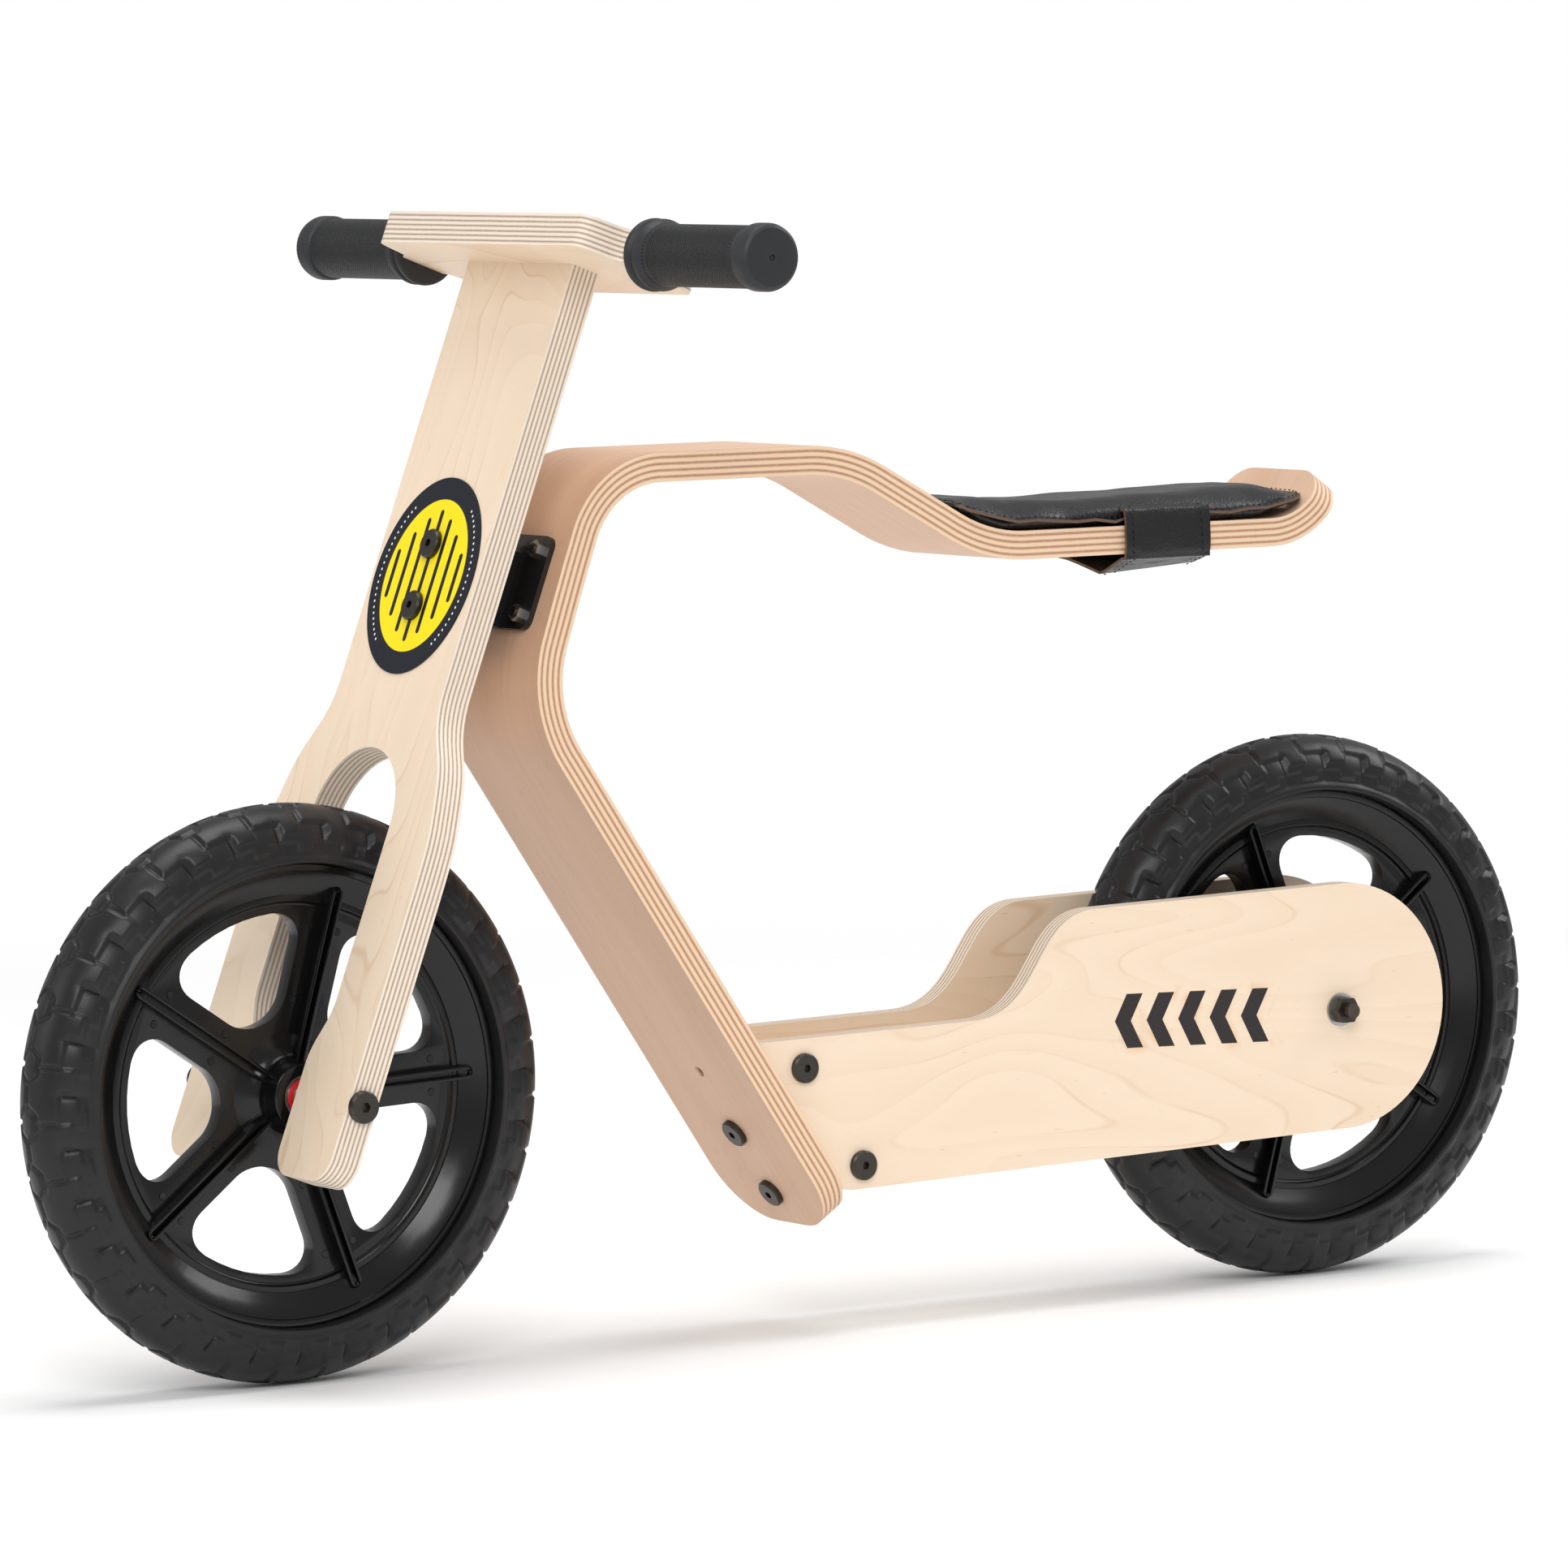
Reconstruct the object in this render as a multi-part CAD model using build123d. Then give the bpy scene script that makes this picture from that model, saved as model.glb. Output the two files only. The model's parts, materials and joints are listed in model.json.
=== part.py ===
from build123d import *
import os
from math import cos, sin, tan, radians, degrees, atan2, hypot, pi

# Wooden balance bike for a small child.
# Millimetres. +X is forward, +Y is the rider's left, +Z is up.
# The origin is on the floor, midway between the two wheels.

# wheels
wheelbase = 640
tyre_radius = 147
tyre_width = 47
tyre_seat_radius = 111      # the tyre grips the rim here
lip_radius = 117            # edge of the rim's lips
lip_half_width = 15         # outer face of each lip
lip_thickness = 3
rim_wall = 6
web_thickness = 9
spoke_count = 5
window_inner_radius = 40
window_outer_radius = 92
spoke_width = 26
window_corner = 9
hub_radius = 18
hub_half_length = 22
front_spoke_turn = 178      # where the first spoke points, from +X towards +Z
rear_spoke_turn = -2

# ball bearings in the hubs
bearing_radius = 11
bearing_bore = 4
bearing_width = 7
inner_ring_radius = 6.2
outer_ring_bore = 9.2
ball_radius = 1.95
ball_count = 7
ball_clearance = 0.05
seal_thickness = 0.5

# bent wooden frame: one ribbon from its lower end to its tail.
# Setbacks are from the front axle, and rises are above the axles.
frame_thickness = 15
frame_width = 96            # at the lower end
beam_width = 84             # at the seat
head_angle = 21             # the head and the fork lean back by this
lower_angle = 56.2          # slope of the lower part, from the floor
head_rib = 2.7              # between the pivot tube and the plate on the head
lower_end_setback = 308
lower_end_rise = -92
top_rise = 317
seat_rise = 267.5
dip_start_setback = 323
dip_end_setback = 412
tail_setback = 615
tail_length = 29
tail_angle = 55
bend_radii = [72, 57, 100, 85, 38]
end_corner = 34
tail_corner = 20
taper_low_rise = 153        # the ribbon narrows between these heights
taper_high_rise = 283

# bolts that hold the frame, the bracket and the stays together
bolt_radius = 3
bolt_clearance = 0.2
head_radius = 7.8
head_height = 3.2
socket_radius = 2.3
nut_radius = 7.4
nut_height = 7
frame_hole_pitch = 40
frame_hole_start = 21       # lowest hole, from the lower end
frame_hole_count = 3        # the top hole stays empty: it lowers the seat

# stays
stay_thickness = 12
stay_tyre_gap = 3.5         # between the tyre and each stay
stay_low_rise = 9           # top edge at the front
stay_high_rise = 65         # top edge along the wheel
stay_end_radius = 68
stay_curve = [0.37, 0.48, 0.58]    # the top edge climbs here, from the frame to the axle
stay_bolt_inset = 19        # behind the frame's rear face
stay_bolt_reach = [16.5, 81]

# bracket behind the frame
bracket_thickness = 2.5
bracket_depth = 32
bracket_top_rise = 6
bracket_bottom_rise = -68

# axles
axle_radius = 4
axle_clearance = 0.05
sleeve_radius = 5.3
spacer_radius = 7
washer_radius = 9
washer_thickness = 1.5

# fork plate, measured from the front axle: along the plate, and to each side
fork_thickness = 17
fork_height = 441
neck_half_width = 50
neck_low = 215
shoulder = [(57, 190), (66.5, 175), (74.5, 152)]
leg_outer = 79
leg_top = 108
leg_bottom = -42
leg_corner = 14
leg_inner_low = 28
arch_tyre_gap = 15.5        # between the tyre and each side of the arch
arch_height = 142
leg_step = [14, 52]

# handlebar
bar_thickness = 17
bar_half_depth = 37
bar_end_half_depth = 13
bar_shoulder = [90, 108]
bar_half_length = 208
tenon_width = 22
tenon_corner = 5
bar_bolt_offset = 28
barrel_radius = 5
grip_start = 108
grip_length = 108
grip_radius = 15.5
flange_radius = 18.5
cap_radius = 17

# steering pivot, between the fork plate and the frame's head
pivot_setback = 27.5        # axis, behind the middle of the fork plate
pivot_height = 275          # middle of the hinge, along the plate
tube_radius = 9.5
tube_length = 52
tube_bore = 6.5
bush_flange = 1.2
bush_flange_radius = 9
pin_radius = 4
ear_thickness = 3
hinge_plate = 3
hinge_end_gap = 0.3
hinge_plate_width = 34
housing_width = 60
housing_height = 50
housing_height_centre = 286
housing_bolt_radius = 2.5
fork_bolt_heights = [256, 289]

# badge on the fork
badge_half_width = 47
badge_half_height = 52.5
badge_height = 272.5
badge_thickness = 0.6

# seat pad and strap
pad_gap = 0.3
pad_front_setback = 386
pad_length = 242
pad_rise = 18               # its flat top, above the beam's
pad_half_width = 43
strap_front_setback = 497
strap_width = 55
strap_thickness = 1.6

# worked out from the sizes above
front_x = wheelbase / 2
lower_end = (front_x - lower_end_setback, tyre_radius + lower_end_rise)
top_height = tyre_radius + top_rise
seat_height = tyre_radius + seat_rise
dip_start = front_x - dip_start_setback
dip_end = front_x - dip_end_setback
tail_start = front_x - tail_setback
taper_low = tyre_radius + taper_low_rise
taper_high = tyre_radius + taper_high_rise
stay_gap = tyre_width + 2 * stay_tyre_gap
stay_low = tyre_radius + stay_low_rise
stay_high = tyre_radius + stay_high_rise
bracket_top = tyre_radius + bracket_top_rise
bracket_bottom = tyre_radius + bracket_bottom_rise
leg_inner_high = tyre_width / 2 + arch_tyre_gap
pad_front = front_x - pad_front_setback
pad_rear = pad_front - pad_length
pad_top = seat_height + pad_rise
strap_front = front_x - strap_front_setback
strap_rear = strap_front - strap_width
head_setback = pivot_setback + tube_radius + head_rib + hinge_plate
head_slope = radians(head_angle)
lower_slope = radians(lower_angle)
front_axle = Vector(wheelbase / 2, 0, tyre_radius)
rear_axle = Vector(-wheelbase / 2, 0, tyre_radius)
fork_frame = Plane(
    origin=front_axle,
    x_dir=(cos(head_slope), 0, sin(head_slope)),
    z_dir=(-sin(head_slope), 0, cos(head_slope)),
)
lower_frame = Plane(
    origin=(lower_end[0], 0, lower_end[1]),
    x_dir=(sin(lower_slope), 0, -cos(lower_slope)),
    z_dir=(cos(lower_slope), 0, sin(lower_slope)),
)
side_plane = Plane.XZ
stay_inner = stay_gap / 2
stay_outer = stay_inner + stay_thickness
pivot_axis = -pivot_setback
fork_back = -fork_thickness / 2
fork_front = fork_thickness / 2


def cylinder_along_y(radius, low, high, x=0, z=0):
    """Cylinder with its axis along Y, between two values of Y."""
    return Pos(x, (low + high) / 2, z) * Rot(90, 0, 0) * Cylinder(radius, high - low)


def cylinder_along_x(radius, low, high, y=0, z=0):
    """Cylinder with its axis along X, between two values of X."""
    return Pos((low + high) / 2, y, z) * Rot(0, 90, 0) * Cylinder(radius, high - low)


def cylinder_along_z(radius, low, high, x=0, y=0):
    """Cylinder with its axis along Z, between two values of Z."""
    return Pos(x, y, (low + high) / 2) * Cylinder(radius, high - low)


def slab(face_points, low, high):
    """Prism of a side outline of (x, z) points, between two values of Y."""
    with BuildSketch(side_plane) as outline:
        with BuildLine():
            Polyline(*face_points, close=True)
        make_face()
    return Pos(0, high, 0) * extrude(outline.sketch, high - low)


def unit(start, end):
    length = hypot(end[0] - start[0], end[1] - start[1])
    return ((end[0] - start[0]) / length, (end[1] - start[1]) / length)


def shifted_path(points, distance):
    """Open path moved to its left by a distance, with sharp corners."""
    moved = []
    last = len(points) - 1
    for index, point in enumerate(points):
        before = unit(points[max(index - 1, 0)], points[max(index, 1)])
        after = unit(points[min(index, last - 1)], points[min(index + 1, last)])
        half = (-(before[1] + after[1]), before[0] + after[0])
        scale = distance * 2 / (half[0] ** 2 + half[1] ** 2)
        moved.append((point[0] + half[0] * scale, point[1] + half[1] * scale))
    return moved


def rounded_path(points, radii):
    """Draw a path with each inner corner rounded by its own radius."""
    here = points[0]
    for index, radius in enumerate(radii):
        corner = points[index + 1]
        into = unit(points[index], corner)
        out = unit(corner, points[index + 2])
        turn = into[0] * out[1] - into[1] * out[0]
        angle = abs(atan2(turn, into[0] * out[0] + into[1] * out[1]))
        reach = radius * tan(angle / 2)
        start = (corner[0] - into[0] * reach, corner[1] - into[1] * reach)
        end = (corner[0] + out[0] * reach, corner[1] + out[1] * reach)
        toward = (out[0] - into[0], out[1] - into[1])
        size = hypot(*toward)
        sagitta = radius / cos(angle / 2) - radius
        middle = (corner[0] + toward[0] / size * sagitta, corner[1] + toward[1] / size * sagitta)
        Line(here, start)
        ThreePointArc(start, middle, end)
        here = end
    Line(here, points[-1])
    return here


def bend_turns(points):
    turns = []
    for index in range(1, len(points) - 1):
        into = unit(points[index - 1], points[index])
        out = unit(points[index], points[index + 1])
        turns.append(1 if into[0] * out[1] - into[1] * out[0] > 0 else -1)
    return turns


def ribbon_outline(points, radii, near, far):
    """Face between two paths, moved left of the given path by near and far."""
    turns = bend_turns(points)
    near_radii = [radius - near * turn for radius, turn in zip(radii, turns)]
    far_radii = [radius - far * turn for radius, turn in zip(radii, turns)]
    near_points = shifted_path(points, near)
    far_points = shifted_path(points, far)
    with BuildSketch(side_plane) as outline:
        with BuildLine():
            rounded_path(near_points, near_radii)
            rounded_path(far_points, far_radii)
            Line(near_points[0], far_points[0])
            Line(near_points[-1], far_points[-1])
        make_face()
    return outline.sketch


def frame_path():
    """Outer (front and top) side of the bent frame, from its lower end."""
    behind = (front_x - lower_end[0]) * cos(head_slope) + (tyre_radius - lower_end[1]) * sin(head_slope)
    lower_length = (behind - head_setback) / cos(lower_slope - head_slope)
    bend_x = lower_end[0] + lower_length * cos(lower_slope)
    bend_z = lower_end[1] + lower_length * sin(lower_slope)
    rise = top_height - bend_z
    top_corner = (bend_x - rise * tan(head_slope), top_height)
    tail_slope = radians(tail_angle)
    tail = (tail_start - tail_length * cos(tail_slope), seat_height + tail_length * sin(tail_slope))
    return [
        lower_end,
        (bend_x, bend_z),
        top_corner,
        (dip_start, top_height),
        (dip_end, seat_height),
        (tail_start, seat_height),
        tail,
    ]


def head_face():
    """Distance of the head's front face from the front axle, along the fork's normal."""
    return -head_setback


def bent_frame():
    points = frame_path()
    outline = ribbon_outline(points, bend_radii, 0, frame_thickness)
    ribbon = Pos(0, frame_width / 2, 0) * extrude(outline, frame_width)
    low = 0
    high = top_height + 60
    wide = frame_width / 2
    slim = beam_width / 2
    with BuildSketch(Plane.YZ) as front:
        with BuildLine():
            Line((-wide, low), (wide, low))
            Line((wide, low), (wide, taper_low))
            Spline((wide, taper_low), (slim, taper_high), tangents=[(0, 1), (0, 1)])
            Line((slim, taper_high), (slim, high))
            Line((slim, high), (-slim, high))
            Line((-slim, high), (-slim, taper_high))
            Spline((-slim, taper_high), (-wide, taper_low), tangents=[(0, -1), (0, -1)])
            Line((-wide, taper_low), (-wide, low))
        make_face()
    taper = Pos(-500, 0, 0) * extrude(front.sketch, 1000)
    ribbon = ribbon & taper
    # the beam keeps its slim width down to the seat
    strip = (frame_width - beam_width) / 2
    for side in (-1, 1):
        edge = Pos(dip_start - 250, side * (slim + strip / 2), seat_height) * Box(600, strip, 120)
        ribbon -= edge
    # round corners at both ends
    for side in (-1, 1):
        ribbon -= lower_frame.location * corner_waste(side, frame_width / 2, end_corner)
        ribbon -= tail_frame().location * corner_waste(side, beam_width / 2, tail_corner)
    for step in range(frame_hole_count):
        reach = frame_hole_start + step * frame_hole_pitch
        hole = cylinder_along_x(bolt_radius + bolt_clearance, -frame_thickness - 5, 5, 0, reach)
        ribbon -= lower_frame.location * hole
    for side, height in housing_bolt_places():
        radius = housing_bolt_radius + bolt_clearance
        hole = cylinder_along_x(radius, head_face() - frame_thickness - 5, head_face() + 5, side, height)
        ribbon -= fork_frame.location * hole
    return ribbon


def tail_frame():
    """Plane at the tail's end, with z pointing back along the tail."""
    end = frame_path()[-1]
    slope = radians(tail_angle)
    return Plane(
        origin=(end[0], 0, end[1]),
        x_dir=(sin(slope), 0, cos(slope)),
        z_dir=(cos(slope), 0, -sin(slope)),
    )


def corner_waste(side, half_width, radius):
    """The wood outside one round corner at a ribbon's end, at z = 0."""
    block = Pos(0, side * (half_width - radius / 2 + 5), radius / 2 - 5) * Box(80, radius + 10, radius + 10)
    keep = cylinder_along_x(radius, -45, 45, side * (half_width - radius), radius)
    return block - keep


def stay_outline():
    """Side outline of a stay, as a closed wire of (x, z)."""
    axle_x = rear_axle.X
    face = lower_frame.from_local_coords(Vector(-frame_thickness - 0.2, 0, 0))
    direction = (cos(lower_slope), sin(lower_slope))
    reach_top = (stay_low - face.Z) / direction[1]
    reach_bottom = (stay_low - 80 - face.Z) / direction[1]
    top_front = (face.X + reach_top * direction[0], stay_low)
    bottom_front = (face.X + reach_bottom * direction[0], stay_low - 80)
    low = tyre_radius - stay_end_radius + 3
    near, middle, far = [top_front[0] + share * (axle_x - top_front[0]) for share in stay_curve]
    half_way = (middle, stay_low + 0.55 * (stay_high - stay_low))
    with BuildSketch(side_plane) as outline:
        with BuildLine():
            Line(top_front, (near, stay_low + 2))
            Spline((near, stay_low + 2), half_way, (far, stay_high), tangents=[(-1, 0.03), (-1, 0)])
            Line((far, stay_high), (axle_x, tyre_radius + stay_end_radius))
            ThreePointArc(
                (axle_x, tyre_radius + stay_end_radius),
                (axle_x - stay_end_radius - 2, tyre_radius),
                (axle_x, low),
            )
            Line((axle_x, low), (bottom_front[0] - 8, bottom_front[1] - 1))
            Line((bottom_front[0] - 8, bottom_front[1] - 1), bottom_front)
            Line(bottom_front, top_front)
        make_face()
    return outline.sketch


def stay(side):
    """Plywood stay: side is 1 for the rider's left and -1 for the right."""
    plate = extrude(stay_outline(), stay_thickness)
    low = stay_inner if side > 0 else -stay_outer
    plate = Pos(0, low + stay_thickness, 0) * plate
    plate -= cylinder_along_y(
        axle_radius + axle_clearance, low - 5, low + stay_thickness + 5, rear_axle.X, rear_axle.Z
    )
    for x, z in stay_bolt_places():
        plate -= cylinder_along_y(bolt_radius + bolt_clearance, low - 5, low + stay_thickness + 5, x, z)
    return plate


def stay_bolt_places():
    places = []
    for reach in stay_bolt_reach:
        spot = lower_frame.from_local_coords(Vector(-frame_thickness - stay_bolt_inset, 0, reach))
        places.append((spot.X, spot.Z))
    return places


def stay_bracket():
    """Folded steel bracket: a web behind the frame and a flange inside each stay."""
    face = lower_frame.from_local_coords(Vector(-frame_thickness, 0, 0))
    slope = tan(lower_slope)
    top_x = face.X + (bracket_top - face.Z) / slope
    bottom_x = face.X + (bracket_bottom - face.Z) / slope
    depth = bracket_depth / sin(lower_slope)
    outline = [
        (bottom_x, bracket_bottom),
        (top_x, bracket_top),
        (top_x - depth, bracket_top),
        (bottom_x - depth, bracket_bottom),
    ]
    block = slab(outline, -stay_inner, stay_inner)
    rear_edges = block.edges().filter_by(Axis.Y).sort_by(Axis.X)
    block = fillet([rear_edges[0], rear_edges[-2]], 9)
    inside = [
        (bottom_x - bracket_thickness / sin(lower_slope) - 20, bracket_bottom - 20 * slope),
        (top_x - bracket_thickness / sin(lower_slope) + 20, bracket_top + 20 * slope),
        (top_x - depth - 80, bracket_top + 20 * slope),
        (bottom_x - depth - 80, bracket_bottom - 20 * slope),
    ]
    bracket = block - slab(inside, -stay_inner + bracket_thickness, stay_inner - bracket_thickness)
    for step in range(2):
        reach = frame_hole_start + step * frame_hole_pitch
        hole = cylinder_along_x(bolt_radius + bolt_clearance, -frame_thickness - 9, 0, 0, reach)
        bracket -= lower_frame.location * hole
    for x, z in stay_bolt_places():
        bracket -= cylinder_along_y(bolt_radius + bolt_clearance, -stay_outer, stay_outer, x, z)
    return bracket


def round_head_bolt(length, radius, head, height, socket):
    """Bolt along +Z: its head's seat is at z = 0 and its shank points down."""
    cap = Pos(0, 0, height / 2) * Cylinder(head, height)
    cap = chamfer(cap.edges().sort_by(Axis.Z)[-1], height / 4)
    shank = Pos(0, 0, -length / 2) * Cylinder(radius, length)
    with BuildSketch(Plane.XY.offset(height)) as hexagon:
        RegularPolygon(socket, 6)
    recess = extrude(hexagon.sketch, -height * 0.75)
    return cap + shank - recess


def cap_nut(radius, height, bore, bore_depth):
    """Round connector nut along -Z: it seats at z = 0 and its dome points down."""
    disc = Pos(0, 0, -1.2) * Cylinder(radius, 2.4)
    barrel = Pos(0, 0, -height / 2) * Cylinder(bore + 2.2, height)
    body = disc + barrel
    return body - Pos(0, 0, -bore_depth / 2) * Cylinder(bore, bore_depth + 0.001)


def frame_bolts():
    bolts = []
    for step in range(2):
        reach = frame_hole_start + step * frame_hole_pitch
        length = frame_thickness + bracket_thickness + 4
        bolt = round_head_bolt(length, bolt_radius, head_radius, head_height, socket_radius)
        bolts.append(lower_frame.location * Pos(0, 0, reach) * Rot(0, 90, 0) * bolt)
    return Compound(children=bolts)


def frame_nuts():
    nuts = []
    for step in range(2):
        reach = frame_hole_start + step * frame_hole_pitch
        nut = cap_nut(nut_radius, nut_height, bolt_radius, 4.6)
        seat = -frame_thickness - bracket_thickness
        nuts.append(lower_frame.location * Pos(seat, 0, reach) * Rot(0, 90, 0) * nut)
    return Compound(children=nuts)


def stay_bolts():
    bolts = []
    for side in (-1, 1):
        for x, z in stay_bolt_places():
            length = stay_thickness + bracket_thickness + 4
            bolt = round_head_bolt(length, bolt_radius, head_radius, head_height, socket_radius)
            bolts.append(Pos(x, side * stay_outer, z) * Rot(-side * 90, 0, 0) * bolt)
    return Compound(children=bolts)


def stay_nuts():
    nuts = []
    for side in (-1, 1):
        for x, z in stay_bolt_places():
            nut = cap_nut(nut_radius, nut_height, bolt_radius, 4.6)
            seat = side * (stay_inner - bracket_thickness)
            nuts.append(Pos(x, seat, z) * Rot(-side * 90, 0, 0) * nut)
    return Compound(children=nuts)


def turned(profile_points):
    """Ring or disc about the Y axis, from a closed outline of (radius, y) points."""
    with BuildSketch(Plane.XY) as outline:
        with BuildLine():
            Polyline(*profile_points, close=True)
        make_face()
    return revolve(outline.sketch, Axis.Y, 360)


def tyre(centre):
    half = tyre_width / 2
    seat = lip_half_width - lip_thickness
    with BuildSketch(Plane.XY) as outline:
        with BuildLine():
            Line((tyre_seat_radius, -seat), (tyre_seat_radius, seat))
            Line((tyre_seat_radius, seat), (lip_radius, seat))
            Line((lip_radius, seat), (lip_radius + 1, half - 4))
            Spline(
                (lip_radius + 1, half - 4),
                (tyre_radius - 17, half),
                (tyre_radius - 5, half - 5.5),
                (tyre_radius, 0),
                (tyre_radius - 5, -half + 5.5),
                (tyre_radius - 17, -half),
                (lip_radius + 1, -half + 4),
            )
            Line((lip_radius + 1, -half + 4), (lip_radius, -seat))
            Line((lip_radius, -seat), (tyre_seat_radius, -seat))
        make_face()
    return Pos(*centre) * revolve(outline.sketch, Axis.Y, 360)


def rim(centre, first_turn):
    """Plastic rim: a barrel with two lips, a pierced web with spokes, and a hub."""
    lip = lip_half_width
    seat = lip - lip_thickness
    barrel = turned([
        (tyre_seat_radius, -seat),
        (tyre_seat_radius, seat),
        (lip_radius, seat),
        (lip_radius, lip),
        (tyre_seat_radius - rim_wall, lip),
        (tyre_seat_radius - rim_wall - 6, web_thickness / 2),
        (tyre_seat_radius - rim_wall - 6, -web_thickness / 2),
        (tyre_seat_radius - rim_wall, -lip),
        (lip_radius, -lip),
        (lip_radius, -seat),
    ])
    web = cylinder_along_y(tyre_seat_radius - rim_wall - 3, -web_thickness / 2, web_thickness / 2)
    body = barrel + web
    body -= Rot(0, -first_turn, 0) * windows()
    body += cylinder_along_y(hub_radius, -hub_half_length, hub_half_length)
    for index in range(spoke_count):
        turn = first_turn + index * 360 / spoke_count
        rib = Pos(58, 0, 0) * Box(84, 2 * lip - 8, 7)
        body += Rot(0, -turn, 0) * rib
    body -= cylinder_along_y(inner_ring_radius + 1.5, -hub_half_length - 1, hub_half_length + 1)
    for side in (-1, 1):
        seat = hub_half_length - bearing_width
        low, high = sorted((side * seat, side * (hub_half_length + 1)))
        body -= cylinder_along_y(bearing_radius, low, high)
    return Pos(*centre) * body


def windows():
    """Round-cornered openings between the spokes, the first spoke being along +X."""
    tools = []
    step = 2 * pi / spoke_count
    for index in range(spoke_count):
        middle = (index + 0.5) * step
        inner_half = step / 2 - spoke_width / 2 / window_inner_radius
        outer_half = step / 2 - spoke_width / 2 / window_outer_radius
        corners = []
        for radius, turn in (
            (window_inner_radius, -inner_half),
            (window_outer_radius, -outer_half),
            (window_outer_radius + 5, 0),
            (window_outer_radius, outer_half),
            (window_inner_radius, inner_half),
        ):
            corners.append((radius * cos(middle + turn), radius * sin(middle + turn)))
        prism = slab(corners, -web_thickness, web_thickness)
        tools.append(fillet(prism.edges().filter_by(Axis.Y), min(window_corner, 7)))
    result = tools[0]
    for tool in tools[1:]:
        result += tool
    return result


def bearing_middle():
    return hub_half_length - bearing_width / 2


def race(radius):
    """Groove for the balls, as a ring about the Y axis."""
    pitch = (inner_ring_radius + outer_ring_bore) / 2
    return Rot(90, 0, 0) * Torus(pitch, radius)


def outer_rings(centre):
    rings = []
    for side in (-1, 1):
        ring = cylinder_along_y(bearing_radius, -bearing_width / 2, bearing_width / 2)
        ring -= cylinder_along_y(outer_ring_bore, -bearing_width, bearing_width)
        ring -= race(ball_radius + ball_clearance)
        rings.append(Pos(centre.X, side * bearing_middle(), centre.Z) * ring)
    return Compound(children=rings)


def inner_rings(centre):
    rings = []
    for side in (-1, 1):
        ring = cylinder_along_y(inner_ring_radius, -bearing_width / 2, bearing_width / 2)
        ring -= cylinder_along_y(bearing_bore + axle_clearance, -bearing_width, bearing_width)
        ring -= race(ball_radius + ball_clearance)
        rings.append(Pos(centre.X, side * bearing_middle(), centre.Z) * ring)
    return Compound(children=rings)


def balls(centre):
    pitch = (inner_ring_radius + outer_ring_bore) / 2
    pieces = []
    for side in (-1, 1):
        for index in range(ball_count):
            turn = 2 * pi * index / ball_count
            spot = Pos(centre.X + pitch * cos(turn), side * bearing_middle(), centre.Z + pitch * sin(turn))
            pieces.append(spot * Sphere(ball_radius))
    return Compound(children=pieces)


def seals(centre):
    """Thin ring shields, fixed in the outer rings and clear of the inner ones."""
    pieces = []
    for side in (-1, 1):
        low = bearing_width / 2 - seal_thickness - 0.2
        ring = cylinder_along_y(outer_ring_bore, low, low + seal_thickness)
        ring -= cylinder_along_y(inner_ring_radius + 0.15, low - 1, low + 1 + seal_thickness)
        if side < 0:
            ring = mirror(ring, Plane.XZ)
        pieces.append(Pos(centre.X, side * bearing_middle(), centre.Z) * ring)
    return Compound(children=pieces)


def hub_tube(centre):
    """Tube on the axle that keeps the two inner rings apart."""
    reach = hub_half_length - bearing_width
    tube = cylinder_along_y(inner_ring_radius - 0.4, -reach, reach)
    tube -= cylinder_along_y(axle_radius + axle_clearance, -reach - 1, reach + 1)
    return Pos(*centre) * tube


def axle_spacers(centre, outside):
    """Short tubes between the bearings and the legs or stays."""
    pieces = []
    for side in (-1, 1):
        low, high = sorted((side * (hub_half_length + 0.3), side * outside))
        tube = cylinder_along_y(spacer_radius, low, high)
        tube += cylinder_along_y(5.6, *sorted((side * hub_half_length, side * (hub_half_length + 1))))
        tube -= cylinder_along_y(axle_radius + axle_clearance, low - 3, high + 3)
        pieces.append(Pos(*centre) * tube)
    return Compound(children=pieces)


def rear_axle_bolt():
    """Long bolt through both stays. Its head is on the right."""
    reach = stay_outer + washer_thickness
    bolt = round_head_bolt(2 * reach + 11, axle_radius, 8.5, 4.5, 3)
    return Pos(rear_axle.X, -reach, rear_axle.Z) * Rot(90, 0, 0) * bolt


def rear_axle_washers():
    pieces = []
    for side in (-1, 1):
        low, high = sorted((side * stay_outer, side * (stay_outer + washer_thickness)))
        ring = cylinder_along_y(washer_radius, low, high, rear_axle.X, rear_axle.Z)
        ring -= cylinder_along_y(axle_radius + axle_clearance, low - 1, high + 1, rear_axle.X, rear_axle.Z)
        pieces.append(ring)
    return Compound(children=pieces)


def rear_axle_nut():
    with BuildSketch(Plane.XY) as hexagon:
        RegularPolygon(6.5, 6, major_radius=False)
        Circle(axle_radius, mode=Mode.SUBTRACT)
    nut = extrude(hexagon.sketch, 6.5)
    seat = stay_outer + washer_thickness
    return Pos(rear_axle.X, seat, rear_axle.Z) * Rot(-90, 0, 0) * nut


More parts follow.
